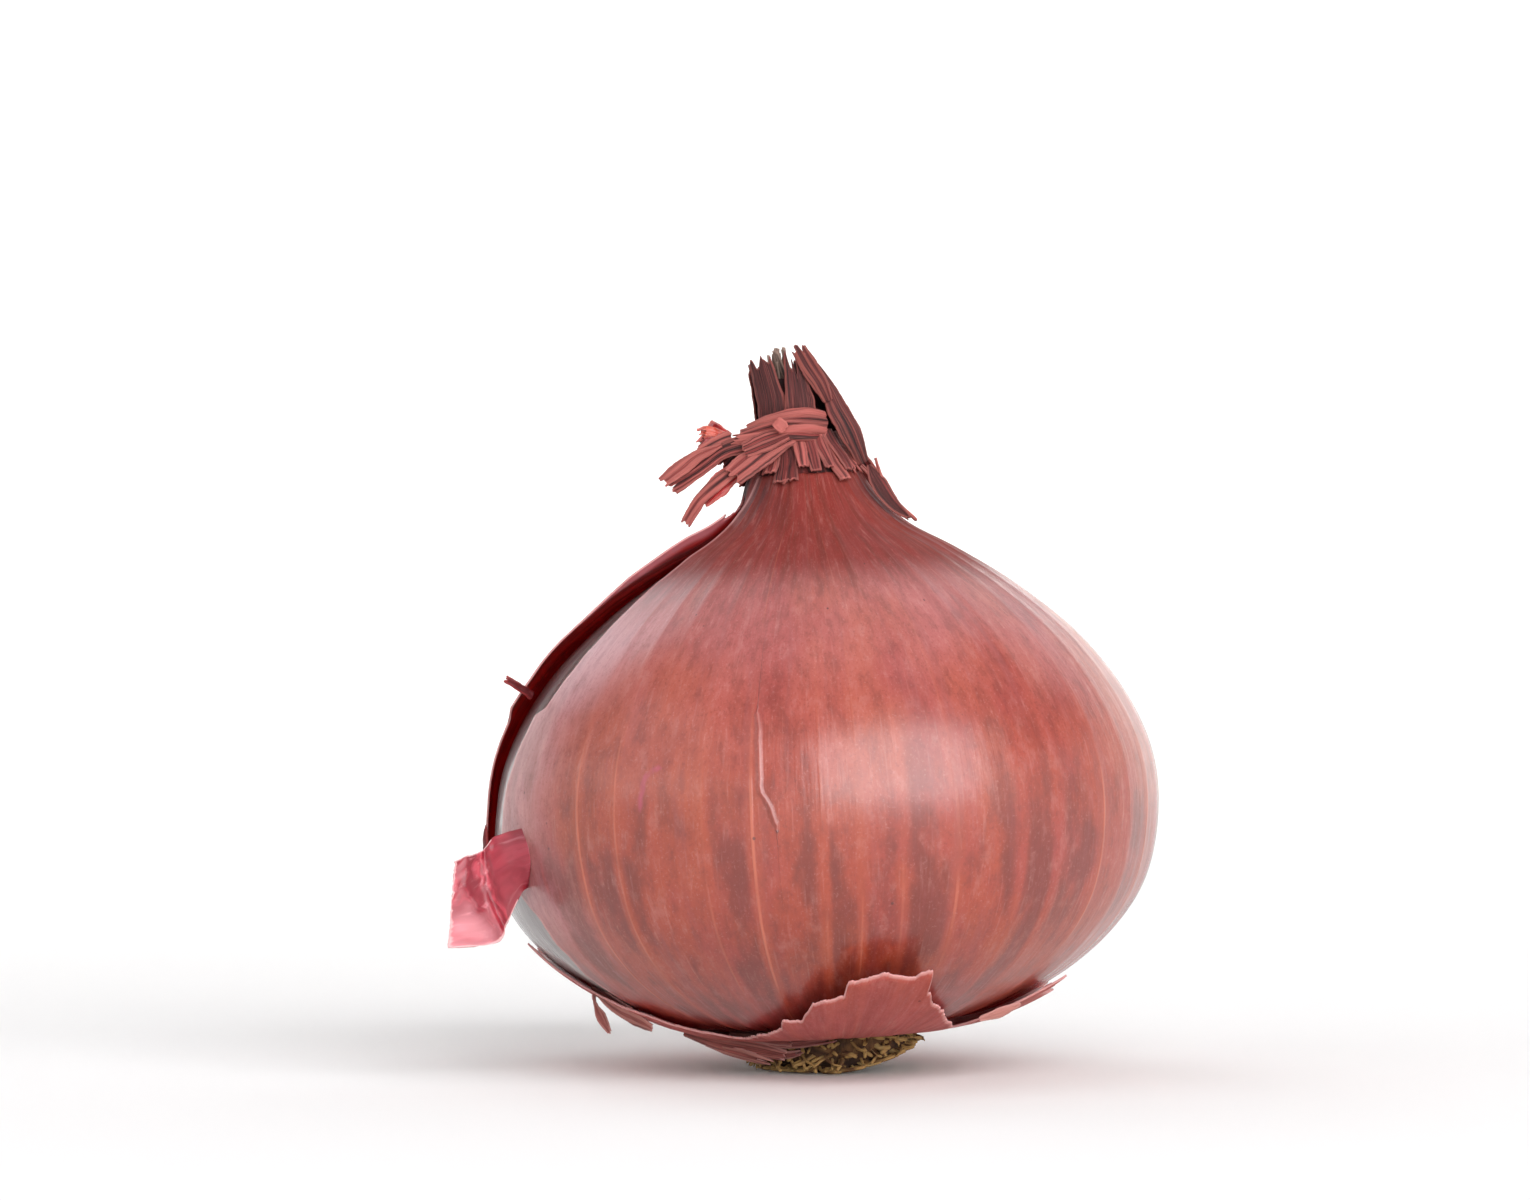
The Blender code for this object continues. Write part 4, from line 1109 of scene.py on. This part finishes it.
@dataclass
class Neck:
    """The dry neck: a core painted dark as shade, upright blades of sheath, a skirt of fibre ends, a band and
    torn shreds.
    """

    thickness: float = 0.00022
    foot: float = 0.0612
    top: float = 0.0800
    core_top: float = 0.0758
    drift: Table = (
        (-0.0030, 0.0), (-0.0035, 0.0), (-0.0045, 0.0), (-0.0056, 0.0), (-0.0065, 0.0))
    core_radii: tuple[float, ...] = (0.0048, 0.0046, 0.0040, 0.0031, 0.0022)
    # The blades in view: left, far left, middle, the folded one beside it, the one that stands off the right;
    # then those round the back.
    blades: tuple[Shred, ...] = (
        Shred(((-6.9, -2.9, 66.5), (-6.8, -3.4, 70.0), (-7.1, -3.3, 73.5), (-8.5, -2.3, 78.6)),
              ((-0.5, -0.85, 0.0), (-0.5, -0.85, 0.0), (-0.4, -0.9, 0.1)), (3.8, 3.8, 3.4, 2.5), 1,
              fray=0.10, tone=0.25, ribs=4.0),
        Shred(((-7.6, -0.4, 66.0), (-7.9, -0.5, 70.5), (-8.3, -0.5, 74.0), (-9.3, -0.2, 77.6)),
              ((-1.0, -0.1, 0.0), (-1.0, -0.1, 0.0), (-1.0, -0.1, 0.1)), (4.4, 4.0, 3.2, 2.0), 2, fray=0.12,
              tone=0.10, ribs=4.0),
        Shred(((-4.6, -4.4, 66.5), (-4.2, -4.6, 70.0), (-3.9, -4.4, 73.0), (-4.9, -3.0, 78.9)),
              ((0.0, -1.0, 0.1), (0.0, -1.0, 0.1), (0.1, -1.0, 0.1)), (3.6, 3.5, 3.2, 1.7), 3, fray=0.12,
              tone=0.42, ribs=4.0),
        Shred(((-0.8, -3.5, 73.3), (-1.7, -3.8, 75.2), (-2.9, -3.6, 77.2), (-4.3, -2.8, 79.6)),
              ((0.4, -0.9, 0.3), (0.4, -0.9, 0.3), (0.4, -0.9, 0.2)), (1.2, 2.2, 2.3, 1.9), 4, fray=0.15,
              tone=0.75, ribs=3.0, cup=0.15),
        Shred(((3.1, -1.8, 66.6), (1.9, -2.6, 69.6), (0.5, -2.7, 72.2), (-0.8, -2.5, 74.8),
              (-2.9, -1.8, 78.0)), ((0.7, -0.7, 0.1), (0.7, -0.7, 0.2), (0.7, -0.7, 0.3), (0.7, -0.7, 0.3)),
              (1.8, 3.4, 3.4, 2.6, 1.6), 5, fray=0.12, tone=0.60, ribs=3.0, cup=0.12),
        Shred(((1.2, 0.8, 66.0), (0.6, 0.8, 70.0), (-1.0, 0.8, 74.0), (-2.9, 0.5, 78.4)), ((1.0, 0.1, 0.1),
              (1.0, 0.1, 0.2), (1.0, 0.1, 0.3)), (4.4, 4.0, 3.4, 2.2), 6, fray=0.10, tone=0.30, ribs=4.0),
        Shred(((0.0, 3.2, 66.0), (-0.8, 3.3, 70.5), (-2.3, 3.0, 74.5), (-4.0, 2.2, 78.4)), ((0.6, 0.8, 0.1),
              (0.6, 0.8, 0.1), (0.5, 0.8, 0.2)), (4.4, 4.0, 3.4, 2.4), 7, fray=0.12, tone=0.5, ribs=4.0),
        Shred(((-3.4, 4.3, 66.0), (-4.1, 4.2, 70.5), (-5.2, 3.8, 74.5), (-6.5, 2.8, 77.6)),
              ((0.0, 1.0, 0.1), (0.0, 1.0, 0.1), (0.0, 1.0, 0.2)), (4.4, 4.0, 3.4, 2.2), 8, fray=0.12,
              tone=0.42, ribs=4.0),
        Shred(((-6.2, 2.6, 66.0), (-7.2, 2.5, 70.5), (-8.0, 2.1, 74.5), (-8.9, 1.4, 77.2)),
              ((-0.7, 0.7, 0.0), (-0.7, 0.7, 0.0), (-0.7, 0.7, 0.1)), (4.4, 4.0, 3.4, 2.0), 9, fray=0.12,
              tone=0.6, ribs=4.0),
    )
    # The band with its tail and the shreds under it, the sliver on the right shoulder, and three at the back.
    shreds: tuple[Shred, ...] = (
        Shred(((-1.2, -3.4, 71.7), (-3.0, -5.0, 72.0), (-5.2, -5.4, 71.8), (-7.6, -4.9, 71.1),
              (-9.6, -3.9, 70.3)), ((0.8, -0.6, 0.2), (0.2, -1.0, 0.2), (-0.2, -1.0, 0.2),
              (-0.5, -0.8, 0.2)), (1.0, 1.1, 1.0, 0.9), 10, cup=0.15, fray=0.03, tone=0.95, ribs=1.0,
              rib=0.12, rows=60),
        Shred(((-1.0, -3.6, 70.9), (-3.0, -5.2, 71.1), (-5.2, -5.6, 70.9), (-7.8, -5.1, 70.3),
              (-10.4, -4.1, 69.6)), ((0.8, -0.6, 0.1), (0.2, -1.0, 0.1), (-0.2, -1.0, 0.1),
              (-0.5, -0.8, 0.2)), (1.1, 1.2, 1.1, 1.0), 26, cup=0.15, fray=0.03, tone=0.62, ribs=1.0,
              rib=0.12, rows=60),
        Shred(((-1.1, -3.6, 70.1), (-3.0, -5.3, 70.2), (-5.4, -5.6, 70.0), (-8.4, -5.0, 69.4),
              (-11.8, -3.9, 68.9)), ((0.8, -0.6, 0.1), (0.2, -1.0, 0.0), (-0.2, -1.0, 0.0),
              (-0.5, -0.8, 0.2)), (1.0, 1.2, 1.2, 1.2), 27, cup=0.15, fray=0.10, tone=1.0, ribs=1.0,
              rib=0.12, rows=60),
        Shred(((-1.4, -3.4, 69.4), (-3.0, -5.2, 69.4), (-5.2, -5.5, 69.3), (-7.8, -5.0, 68.8)),
              ((0.8, -0.6, 0.0), (0.2, -1.0, -0.1), (-0.2, -1.0, -0.1)), (0.9, 1.1, 1.1, 0.9), 28, cup=0.15,
              fray=0.05, tone=0.45, ribs=1.0, rib=0.12, rows=60),
        Shred(((-6.6, -4.6, 69.0), (-9.6, -4.4, 68.6), (-12.4, -3.9, 67.7), (-15.0, -3.6, 65.8),
              (-18.3, -3.4, 63.6)), ((-0.2, -1.0, 0.1), (-0.3, -0.9, 0.3), (-0.2, -0.9, 0.4)), (2.2, 2.2,
              2.0, 2.1, 2.0), 11, fray=0.05, tone=0.58, ribs=3.0, rows=60),
        Shred(((-12.4, -3.8, 68.4), (-15.0, -3.5, 67.2), (-17.0, -3.5, 65.8), (-19.0, -3.5, 64.2)),
              ((-0.1, -0.9, 0.4),), (0.6, 1.5, 1.9, 1.4), 12, tone=0.98, ribs=2.0),
        Shred(((-4.6, -5.3, 69.3), (-7.4, -5.7, 67.9), (-9.4, -5.9, 66.4), (-11.6, -6.1, 64.7)),
              ((-0.1, -1.0, 0.1), (-0.2, -1.0, 0.2), (-0.2, -1.0, 0.3)), (1.4, 2.8, 2.9, 2.6), 13,
              fray=0.10, tone=0.90, ribs=3.0),
        Shred(((-5.2, -5.6, 69.6), (-7.8, -5.8, 68.7), (-10.3, -5.6, 67.6)), ((-0.1, -1.0, 0.1),
              (-0.2, -1.0, 0.2), (-0.2, -1.0, 0.2)), (1.4, 2.3, 1.7), 14, fray=0.12, tone=0.70, ribs=3.0),
        Shred(((-9.2, -5.0, 66.9), (-12.4, -5.2, 64.6), (-14.9, -5.3, 62.2), (-16.4, -5.6, 59.6)),
              ((-0.3, -1.0, 0.2), (-0.3, -1.0, 0.3), (-0.4, -0.9, 0.4)), (1.4, 1.6, 1.5, 1.3), 15,
              fray=0.05, tone=0.85, ribs=2.0),
        Shred(((-11.4, -3.4, 69.4), (-13.6, -3.2, 68.4), (-15.4, -3.2, 67.4)), ((-0.2, -1.0, 0.3),), (1.6,
              1.4, 0.8), 16, fray=0.2, tone=0.95, ribs=2.0),
        Shred(((-6.5, -6.3, 71.0), (-6.0, -6.5, 70.5), (-5.5, -6.3, 70.0)), ((-0.3, -1.0, 0.3),
              (-0.1, -1.0, 0.4)), (1.2, 1.4, 1.1), 17, 0.03, 0.15, 1.4, 0.06, columns=10, rows=10),
        Shred(((4.2, -3.4, 67.0), (5.0, -3.6, 64.8), (6.6, -4.0, 62.2), (8.9, -4.8, 59.9)),
              ((0.7, -0.6, 0.4), (0.7, -0.6, 0.4), (0.7, -0.5, 0.5)), (0.3, 0.45, 0.45, 0.3), 18, tone=0.98,
              ribs=1.0),
        Shred(((3.6, -3.4, 66.2), (4.6, -4.0, 64.4), (6.2, -4.6, 62.0), (8.2, -5.2, 60.2)),
              ((0.3, -0.9, 0.3), (0.3, -0.9, 0.4), (0.3, -0.8, 0.5)), (0.6, 2.0, 1.7, 0.4), 19, tone=0.05,
              ribs=2.0),
        Shred(((-2.0, 4.2, 69.0), (1.0, 7.2, 68.0), (4.0, 11.2, 64.5), (5.6, 14.0, 61.2)), ((0.2, 0.9, 0.4),
              (0.2, 0.9, 0.5), (0.2, 0.7, 0.7)), (3.4, 3.6, 2.2), 20, fray=0.10, ribs=4.0),
        Shred(((-7.0, 3.4, 70.0), (-9.6, 6.0, 69.0), (-12.6, 8.2, 66.0)), ((-0.5, 0.8, 0.3),
              (-0.5, 0.8, 0.5), (-0.5, 0.6, 0.6)), (3.0, 3.0, 2.0), 21, fray=0.12, tone=0.4, ribs=3.0),
        Shred(((-3.0, 3.4, 70.0), (-4.4, 6.4, 71.2), (-6.2, 8.6, 70.0)), ((-0.1, 0.5, 0.9),
              (-0.2, 0.4, 0.9), (-0.3, 0.7, 0.7)), (2.6, 2.8, 1.6), 22, 0.20, fray=0.12, tone=0.6, ribs=3.0),
    )
    # The crinkled red shreds behind the band's end and under the pale shred.
    curls: tuple[Shred, ...] = (
        Shred(((-11.6, 0.2, 69.2), (-13.2, -0.6, 70.2), (-14.2, -1.0, 71.0)), ((-0.2, -0.8, 0.5),
              (-0.1, -0.9, 0.3)), (1.8, 1.9, 0.8), 23, 0.2, 0.3, 0.6, 0.25),
        Shred(((-11.8, -0.8, 69.4), (-14.0, -1.4, 70.0), (-15.4, -1.8, 69.7)), ((0.1, -0.8, 0.6),
              (-0.3, -0.9, 0.3)), (1.5, 1.7, 0.9), 24, 0.25, 0.3, 1.1, 0.25),
        Shred(((-12.0, -1.0, 69.0), (-14.0, -1.6, 69.0), (-15.2, -2.0, 68.0)), ((0.0, -0.9, -0.2),
              (-0.3, -0.9, -0.3)), (1.4, 1.6, 0.9), 29, 0.2, 0.3, 0.35, 0.25),
        Shred(((-10.4, -4.3, 66.0), (-12.8, -4.5, 63.9), (-14.4, -4.8, 61.8)), ((-0.2, -1.0, 0.3),), (2.0,
              2.6, 1.0), 25, tone=0.4, ribs=2.0),
    )
    collar_foot: float = 0.85
    collar_bend: float = 0.55
    collar_depth: float = 0.00030
    threads: int = 16
    skirt_count: int = 30
    skirt_top: float = 70.0
    # In millimetres: where the gather leaves the bulb, how far it goes up round the neck, and its radii there.
    collar_height: float = 65.4
    gather_start: float = 65.1
    gather_rise: float = 4.4
    gather_radii: tuple[float, ...] = (5.9, 5.5, 5.2, 5.0)
    seed: int = 17

    def middle(self, height: float) -> Vector:
        """The neck's middle at a height."""
        drift = on_spline(self.drift, (height - self.foot) / (self.top - self.foot))
        return Vector((drift.x, drift.y, height))

    def core(self) -> bpy.types.Object:
        """The bundle in the middle, painted dark as shade, closed at both ends."""
        work = SheetWork()

        def place(u: float, v: float) -> Spot:
            """The spot at u across and v along."""
            azimuth, height = 360.0 * u, self.foot + v * (self.core_top - self.foot)
            radius = on_spline([(value, 0.0) for value in self.core_radii], v).x
            angle = math.radians(azimuth)
            rib = ripple(math.sin(angle) * 3, math.cos(angle) * 3, v)
            point = self.middle(height) + turned(azimuth) * (radius + rib * 0.0004)
            return Spot(point, turned(azimuth), math.radians(azimuth) * radius, height - self.foot)

        work.lay(60, 24, place)
        work.close()
        return work.piece("neck_core", [Finish.CORE_PAINTED_SHADE], node="neck")

    def collar(self) -> bpy.types.Object:
        """The dried gather of skin under the outer one, from the bulb's shoulder up round the neck."""
        work = SheetWork()

        def place(u: float, v: float) -> Spot:
            """The spot at u across and v along."""
            azimuth = -180.0 + 360.0 * u
            lane = FORM.lane(azimuth, 1.0)
            fold = ripple(azimuth * 0.09, v * 1.5, 6.0) * 0.00022
            share = self.collar_foot + v / self.collar_bend * (1.0 - self.collar_foot)
            if v < self.collar_bend:
                lift = FORM.relief(azimuth, share, lane) + fold / 2 - self.collar_depth
                point = FORM.point(azimuth, share, lift - FORM.hollow(azimuth, share))
            else:
                rise = (v - self.collar_bend) / (1.0 - self.collar_bend)
                height = (self.gather_start + rise * self.gather_rise) * MM
                radius = on_spline([(value, 0.0) for value in self.gather_radii], rise).x * MM
                point = self.middle(height) + turned(azimuth) * (radius + fold)
            across, along = math.radians(azimuth) * 0.009, v * 0.013
            # The tone is paler where the gather folds outward and darker in its hollows: painted shade.
            return Spot(point, turned(azimuth), across, along, tone=0.45 + fold * 1500)

        work.lay(240, 30, place)
        return work.piece("neck_collar", (Finish.SHEATH,) * 3, self.thickness)

    def skirt(self) -> list[Shred]:
        """Draws the short fibre ends that hang over the top of the outer skin."""
        draw = random.Random(self.seed)
        made = []
        for index in range(self.skirt_count):
            azimuth = 360.0 * (index + draw.uniform(-0.3, 0.3)) / self.skirt_count
            high = self.skirt_top + draw.uniform(-0.6, 0.3)
            low = 64.6 + draw.uniform(-1.0, 1.3)
            steps = (
                (high, 4.6), ((high * 2 + low) / 3, 5.1), ((high + 2 * low) / 3, 5.9),
                (low, 6.9 + (self.collar_height - low) * 0.5))
            path = tuple(
                tuple(self.middle(height * MM) / MM + turned(azimuth) * (reach + draw.uniform(-0.1, 0.15)))
                for height, reach in steps)
            facing = tuple(turned(azimuth) + Vector((0, 0, 0.35)))
            made.append(Shred(
                path, (facing, facing), (1.7, draw.uniform(1.4, 2.1), draw.uniform(1.1, 1.8)), index + 30,
                0.06, draw.choice((0.03, 0.08, 0.20)), draw.uniform(0.15, 0.95), 0.05, 2.0, 0.08, 8, 16))
        return made

    def thread_ends(self) -> list[Shred]:
        """Draws the thin grey fibres that stand up out of the middle."""
        draw = random.Random(self.seed + 1)
        made = []
        for index in range(self.threads):
            low = Vector((-5.6 + draw.uniform(-1.0, 1.0), -1.6 + draw.uniform(-0.8, 1.6), 73.5))
            high = low + Vector((draw.uniform(-1.9, 0.4), draw.uniform(-0.2, 0.6), draw.uniform(4.0, 6.2)))
            bend = (low + high) / 2 + Vector((draw.uniform(-0.2, 0.2), draw.uniform(-0.2, 0.2), 0.0))
            facing = tuple(turned(draw.uniform(-60, 60)))
            made.append(Shred((tuple(low), tuple(bend), tuple(high)), (facing, facing),
                              (0.7, 0.6, draw.uniform(0.2, 0.5)), index + 80, tone=draw.uniform(0.0, 0.9),
                              columns=3, rows=10))
        return made

    def build(self) -> list[bpy.types.Object]:
        """Builds the neck's pieces."""
        groups = (
            # The inner faces of the blades and the skirt take the core's finish, painted dark as shade.
            ("neck_blades", self.blades, (Finish.BLADE, Finish.CORE_PAINTED_SHADE, Finish.BLADE)),
            ("neck_band_and_shreds", self.shreds, (Finish.SHEATH,) * 3),
            ("neck_skirt", self.skirt(), (Finish.SHEATH, Finish.CORE_PAINTED_SHADE, Finish.SHEATH)),
            ("neck_red_curls", self.curls, (Finish.CURL,) * 3),
            ("neck_threads", self.thread_ends(), (Finish.THREAD,) * 3),
        )
        return [self.core(), self.collar()] + [
            shredded(name, shreds, finishes, self.thickness) for name, shreds, finishes in groups]


@dataclass
class Roots:
    """The root plate with its flat underside, and its fringe of short dry roots."""

    plate: Table = (
        (0.0056, 0.0), (0.0072, 0.0009), (0.0084, 0.0022), (0.0086, 0.0036), (0.0082, 0.0050))
    count: int = 420
    seed: int = 3
    radii: tuple[float, float] = (0.20 * MM, 0.42 * MM)
    lengths: tuple[float, float] = (0.9 * MM, 2.2 * MM)
    worn: float = 0.0030
    tuft_radius: float = 0.0099
    tuft_height: float = 0.005

    def build(self) -> list[bpy.types.Object]:
        """Builds the plate and the fringe."""
        work = SheetWork()

        def place(u: float, v: float) -> Spot:
            """The spot at u across and v along."""
            azimuth = 360.0 * u
            radius, height = on_spline(self.plate, v)
            rough = noise.noise(turned(azimuth) * 4 + Vector((0, 0, v * 3))) * 0.0004 * math.sin(math.pi * v)
            point = turned(azimuth) * (radius + rough)
            point.z = height + self.rise(point.x, height)
            return Spot(point, turned(azimuth), math.radians(azimuth) * radius, v * 0.006)

        work.lay(90, 20, place)
        work.close()
        plate = work.piece("root_plate", [Finish.PLATE], node="roots")
        return [plate, self.fringe()]

    def rise(self, across: float, height: float) -> float:
        """How much higher the fringe's underside is on the right, where its roots are worn off."""
        sideways = max(across / self.tuft_radius, 0.0) ** 1.4
        return self.worn * sideways * max(1.0 - height / self.tuft_height, 0.0)

    def fringe(self) -> bpy.types.Object:
        """The dry roots, each a tapered and curled stub broken off short."""
        work = SheetWork()
        draw = random.Random(self.seed)
        for index in range(self.count):
            azimuth = 360.0 * index / self.count * 7.0 + draw.uniform(-6, 6)
            share = draw.uniform(0.08, 1.0)
            start_radius, height = on_spline(self.plate, share)
            self.stub(work, draw, azimuth, start_radius - 0.0007, height, share)
        work.close(outward=False)
        return work.piece("root_fringe", [Finish.ROOT])

    def stub(self, work: SheetWork, draw: random.Random, azimuth: float, start: float, height: float,
             share: float) -> None:
        """Adds one root.

        Args:
            work: the mesh in the making.
            draw: what its size and bend are drawn from.
            azimuth: where it grows round the plate.
            start: how far from the plate's middle it starts.
            height: of its start.
            share: how high up the plate it grows; the lower ones point down more.
        """
        length = draw.uniform(*self.lengths)
        thick = draw.uniform(*self.radii)
        swing, droop = draw.uniform(-1.4, 1.4), draw.uniform(0.1, 0.9) + 0.5 * (1.0 - share)
        tone, number = draw.random() * 1.1 - 0.1 * share, draw.uniform(0, 50)

        def place(u: float, v: float) -> Spot:
            """The spot at u across and v along."""
            bend = azimuth + math.degrees(swing * length * v**2 / max(start, 0.004))
            middle = turned(bend) * (start + length * v)
            middle.z = max(height - droop * length * v**1.3 + wavering(v * 2 + number, number, 0.0005), thick)
            middle.z += self.rise(middle.x, middle.z)
            around = 2 * math.pi * u
            outward = turned(bend + 90.0) * math.cos(around) + Vector((0, 0, math.sin(around)))
            point = middle + outward * thick * (1.0 - 0.45 * v)
            across = number * MM + u * thick * 6
            return Spot(point, outward, across, length * v, edge=length * (1 - v), tone=tone)

        work.lay(5, 6, place)


@dataclass(frozen=True)
class SoftLight:
    """A soft rectangular light that the camera doesn't see, in metres and watts."""

    name: str
    place: tuple[float, float, float]
    size: tuple[float, float]
    power: float
    colour: str
    aim: tuple[float, float, float] = (0.0, 0.0, 0.035)

    def hang(self) -> None:
        """Hangs it in the scene."""
        lamp = bpy.data.lights.new(self.name, "AREA")
        lamp.shape = "RECTANGLE"
        lamp.size, lamp.size_y = self.size
        lamp.energy = self.power
        lamp.color = linear(self.colour)[:3]
        made = bpy.data.objects.new(self.name, lamp)
        made.location = self.place
        made.rotation_euler = (Vector(self.aim) - Vector(self.place)).to_track_quat("-Z", "Y").to_euler()
        made.visible_camera = False
        bpy.context.scene.collection.objects.link(made)


@dataclass
class Studio:
    """The pale sweep, the soft lights and the camera."""

    lights: tuple[SoftLight, ...] = (
        SoftLight("window_light", (0.641, -1.206, 0.643), (1.75, 1.40), 38.0, "fafbff"),
        SoftLight("left_fill", (-1.32, -0.68, 0.725), (1.80, 1.60), 9.5, "f8faff"),
        SoftLight("back_right_light", (0.84, 1.04, 1.045), (1.10, 0.84), 2.4, "f6f9ff"),
        SoftLight("back_left_light", (-0.84, 1.12, 1.125), (1.00, 0.80), 4.0, "f6f9ff"),
        SoftLight("top_light", (0.0, 0.25, 1.15), (1.3, 1.3), 4.0, "fafbff"),
        SoftLight("backdrop_light", (0.0, 0.85, 0.95), (1.4, 0.30), 11.0, "ffffff", (0.0, 1.7, 0.15)),
    )
    air: str = "f4f6f8"
    air_strength: float = 0.12
    floor_radius: float = 1.25
    wall_radius: float = 1.75
    wall_height: float = 0.75
    pale: str = "f1efec"
    pale_mist: str = "eeece9"
    camera_place: tuple[float, float, float] = (-0.00769, -0.631, 0.05153)
    lens: float = 135.0

    def sweep(self) -> bpy.types.Object:
        """A round floor that curves up into a wall, with no line between them."""
        made = bmesh.new()
        turn = self.wall_radius - self.floor_radius
        profile = [(0.0, 0.0), (self.floor_radius, 0.0)]
        for step in range(1, 17):
            angle = step * math.pi / 32
            profile.append((self.floor_radius + turn * math.sin(angle), turn - turn * math.cos(angle)))
        profile.append((self.wall_radius, self.wall_height))
        corners = [made.verts.new((radius, 0.0, height)) for radius, height in profile]
        edges = [made.edges.new(pair) for pair in zip(corners, corners[1:])]
        bmesh.ops.spin(made, geom=corners + edges, cent=(0, 0, 0), axis=(0, 0, 1), angle=2 * math.pi,
                       steps=96, use_merge=True)
        bmesh.ops.remove_doubles(made, verts=made.verts[:], dist=1e-5)
        bmesh.ops.recalc_face_normals(made, faces=made.faces[:])
        mesh = bpy.data.meshes.new("studio_sweep")
        made.to_mesh(mesh)
        made.free()
        mesh.shade_smooth()
        material, tree, shader = new_material("painted_board_matt")
        mist = add(tree, "ShaderNodeTexNoise", {}, {
            "Vector": add(tree, "ShaderNodeTexCoord").outputs["Object"], "Scale": 3.0})
        tint = add(tree, "ShaderNodeMix", MIX, {
            0: mist.outputs["Fac"], 6: linear(self.pale), 7: linear(self.pale_mist)})
        tree.links.new(tint.outputs[2], shader.inputs["Base Color"])
        set_shader(shader, {"Roughness": 0.9})
        mesh.materials.append(material)
        sweep = bpy.data.objects.new("studio_sweep", mesh)
        bpy.context.scene.collection.objects.link(sweep)
        return sweep

    def build(self) -> None:
        """Sets up the stage, the lights, the air and the camera."""
        self.sweep()
        for light in self.lights:
            light.hang()
        world = bpy.data.worlds.new("pale_air")
        world.use_nodes = True
        world.node_tree.nodes["Background"].inputs["Color"].default_value = linear(self.air)
        world.node_tree.nodes["Background"].inputs["Strength"].default_value = self.air_strength
        bpy.context.scene.world = world
        bpy.context.scene.view_settings.view_transform = "Standard"
        camera = bpy.data.cameras.new("camera")
        camera.lens = self.lens
        camera.sensor_width = 36.0
        camera.clip_start = 0.05
        made = bpy.data.objects.new("camera", camera)
        made.location = self.camera_place
        made.rotation_euler = (math.radians(90.0), 0.0, 0.0)
        bpy.context.scene.collection.objects.link(made)
        bpy.context.scene.camera = made


def main() -> None:
    """Builds the onion's pieces in order, then the studio."""
    logging.basicConfig(level=logging.INFO, format="%(message)s")
    for sub_assembly in (Bulb(), OuterSkin(), LooseSkin(), BaseSkin(), CurledFlap(), Neck(), Roots()):
        sub_assembly.build()
        LOG.info("%s built", type(sub_assembly).__name__)
    Studio().build()


if __name__ == "__main__":
    main()
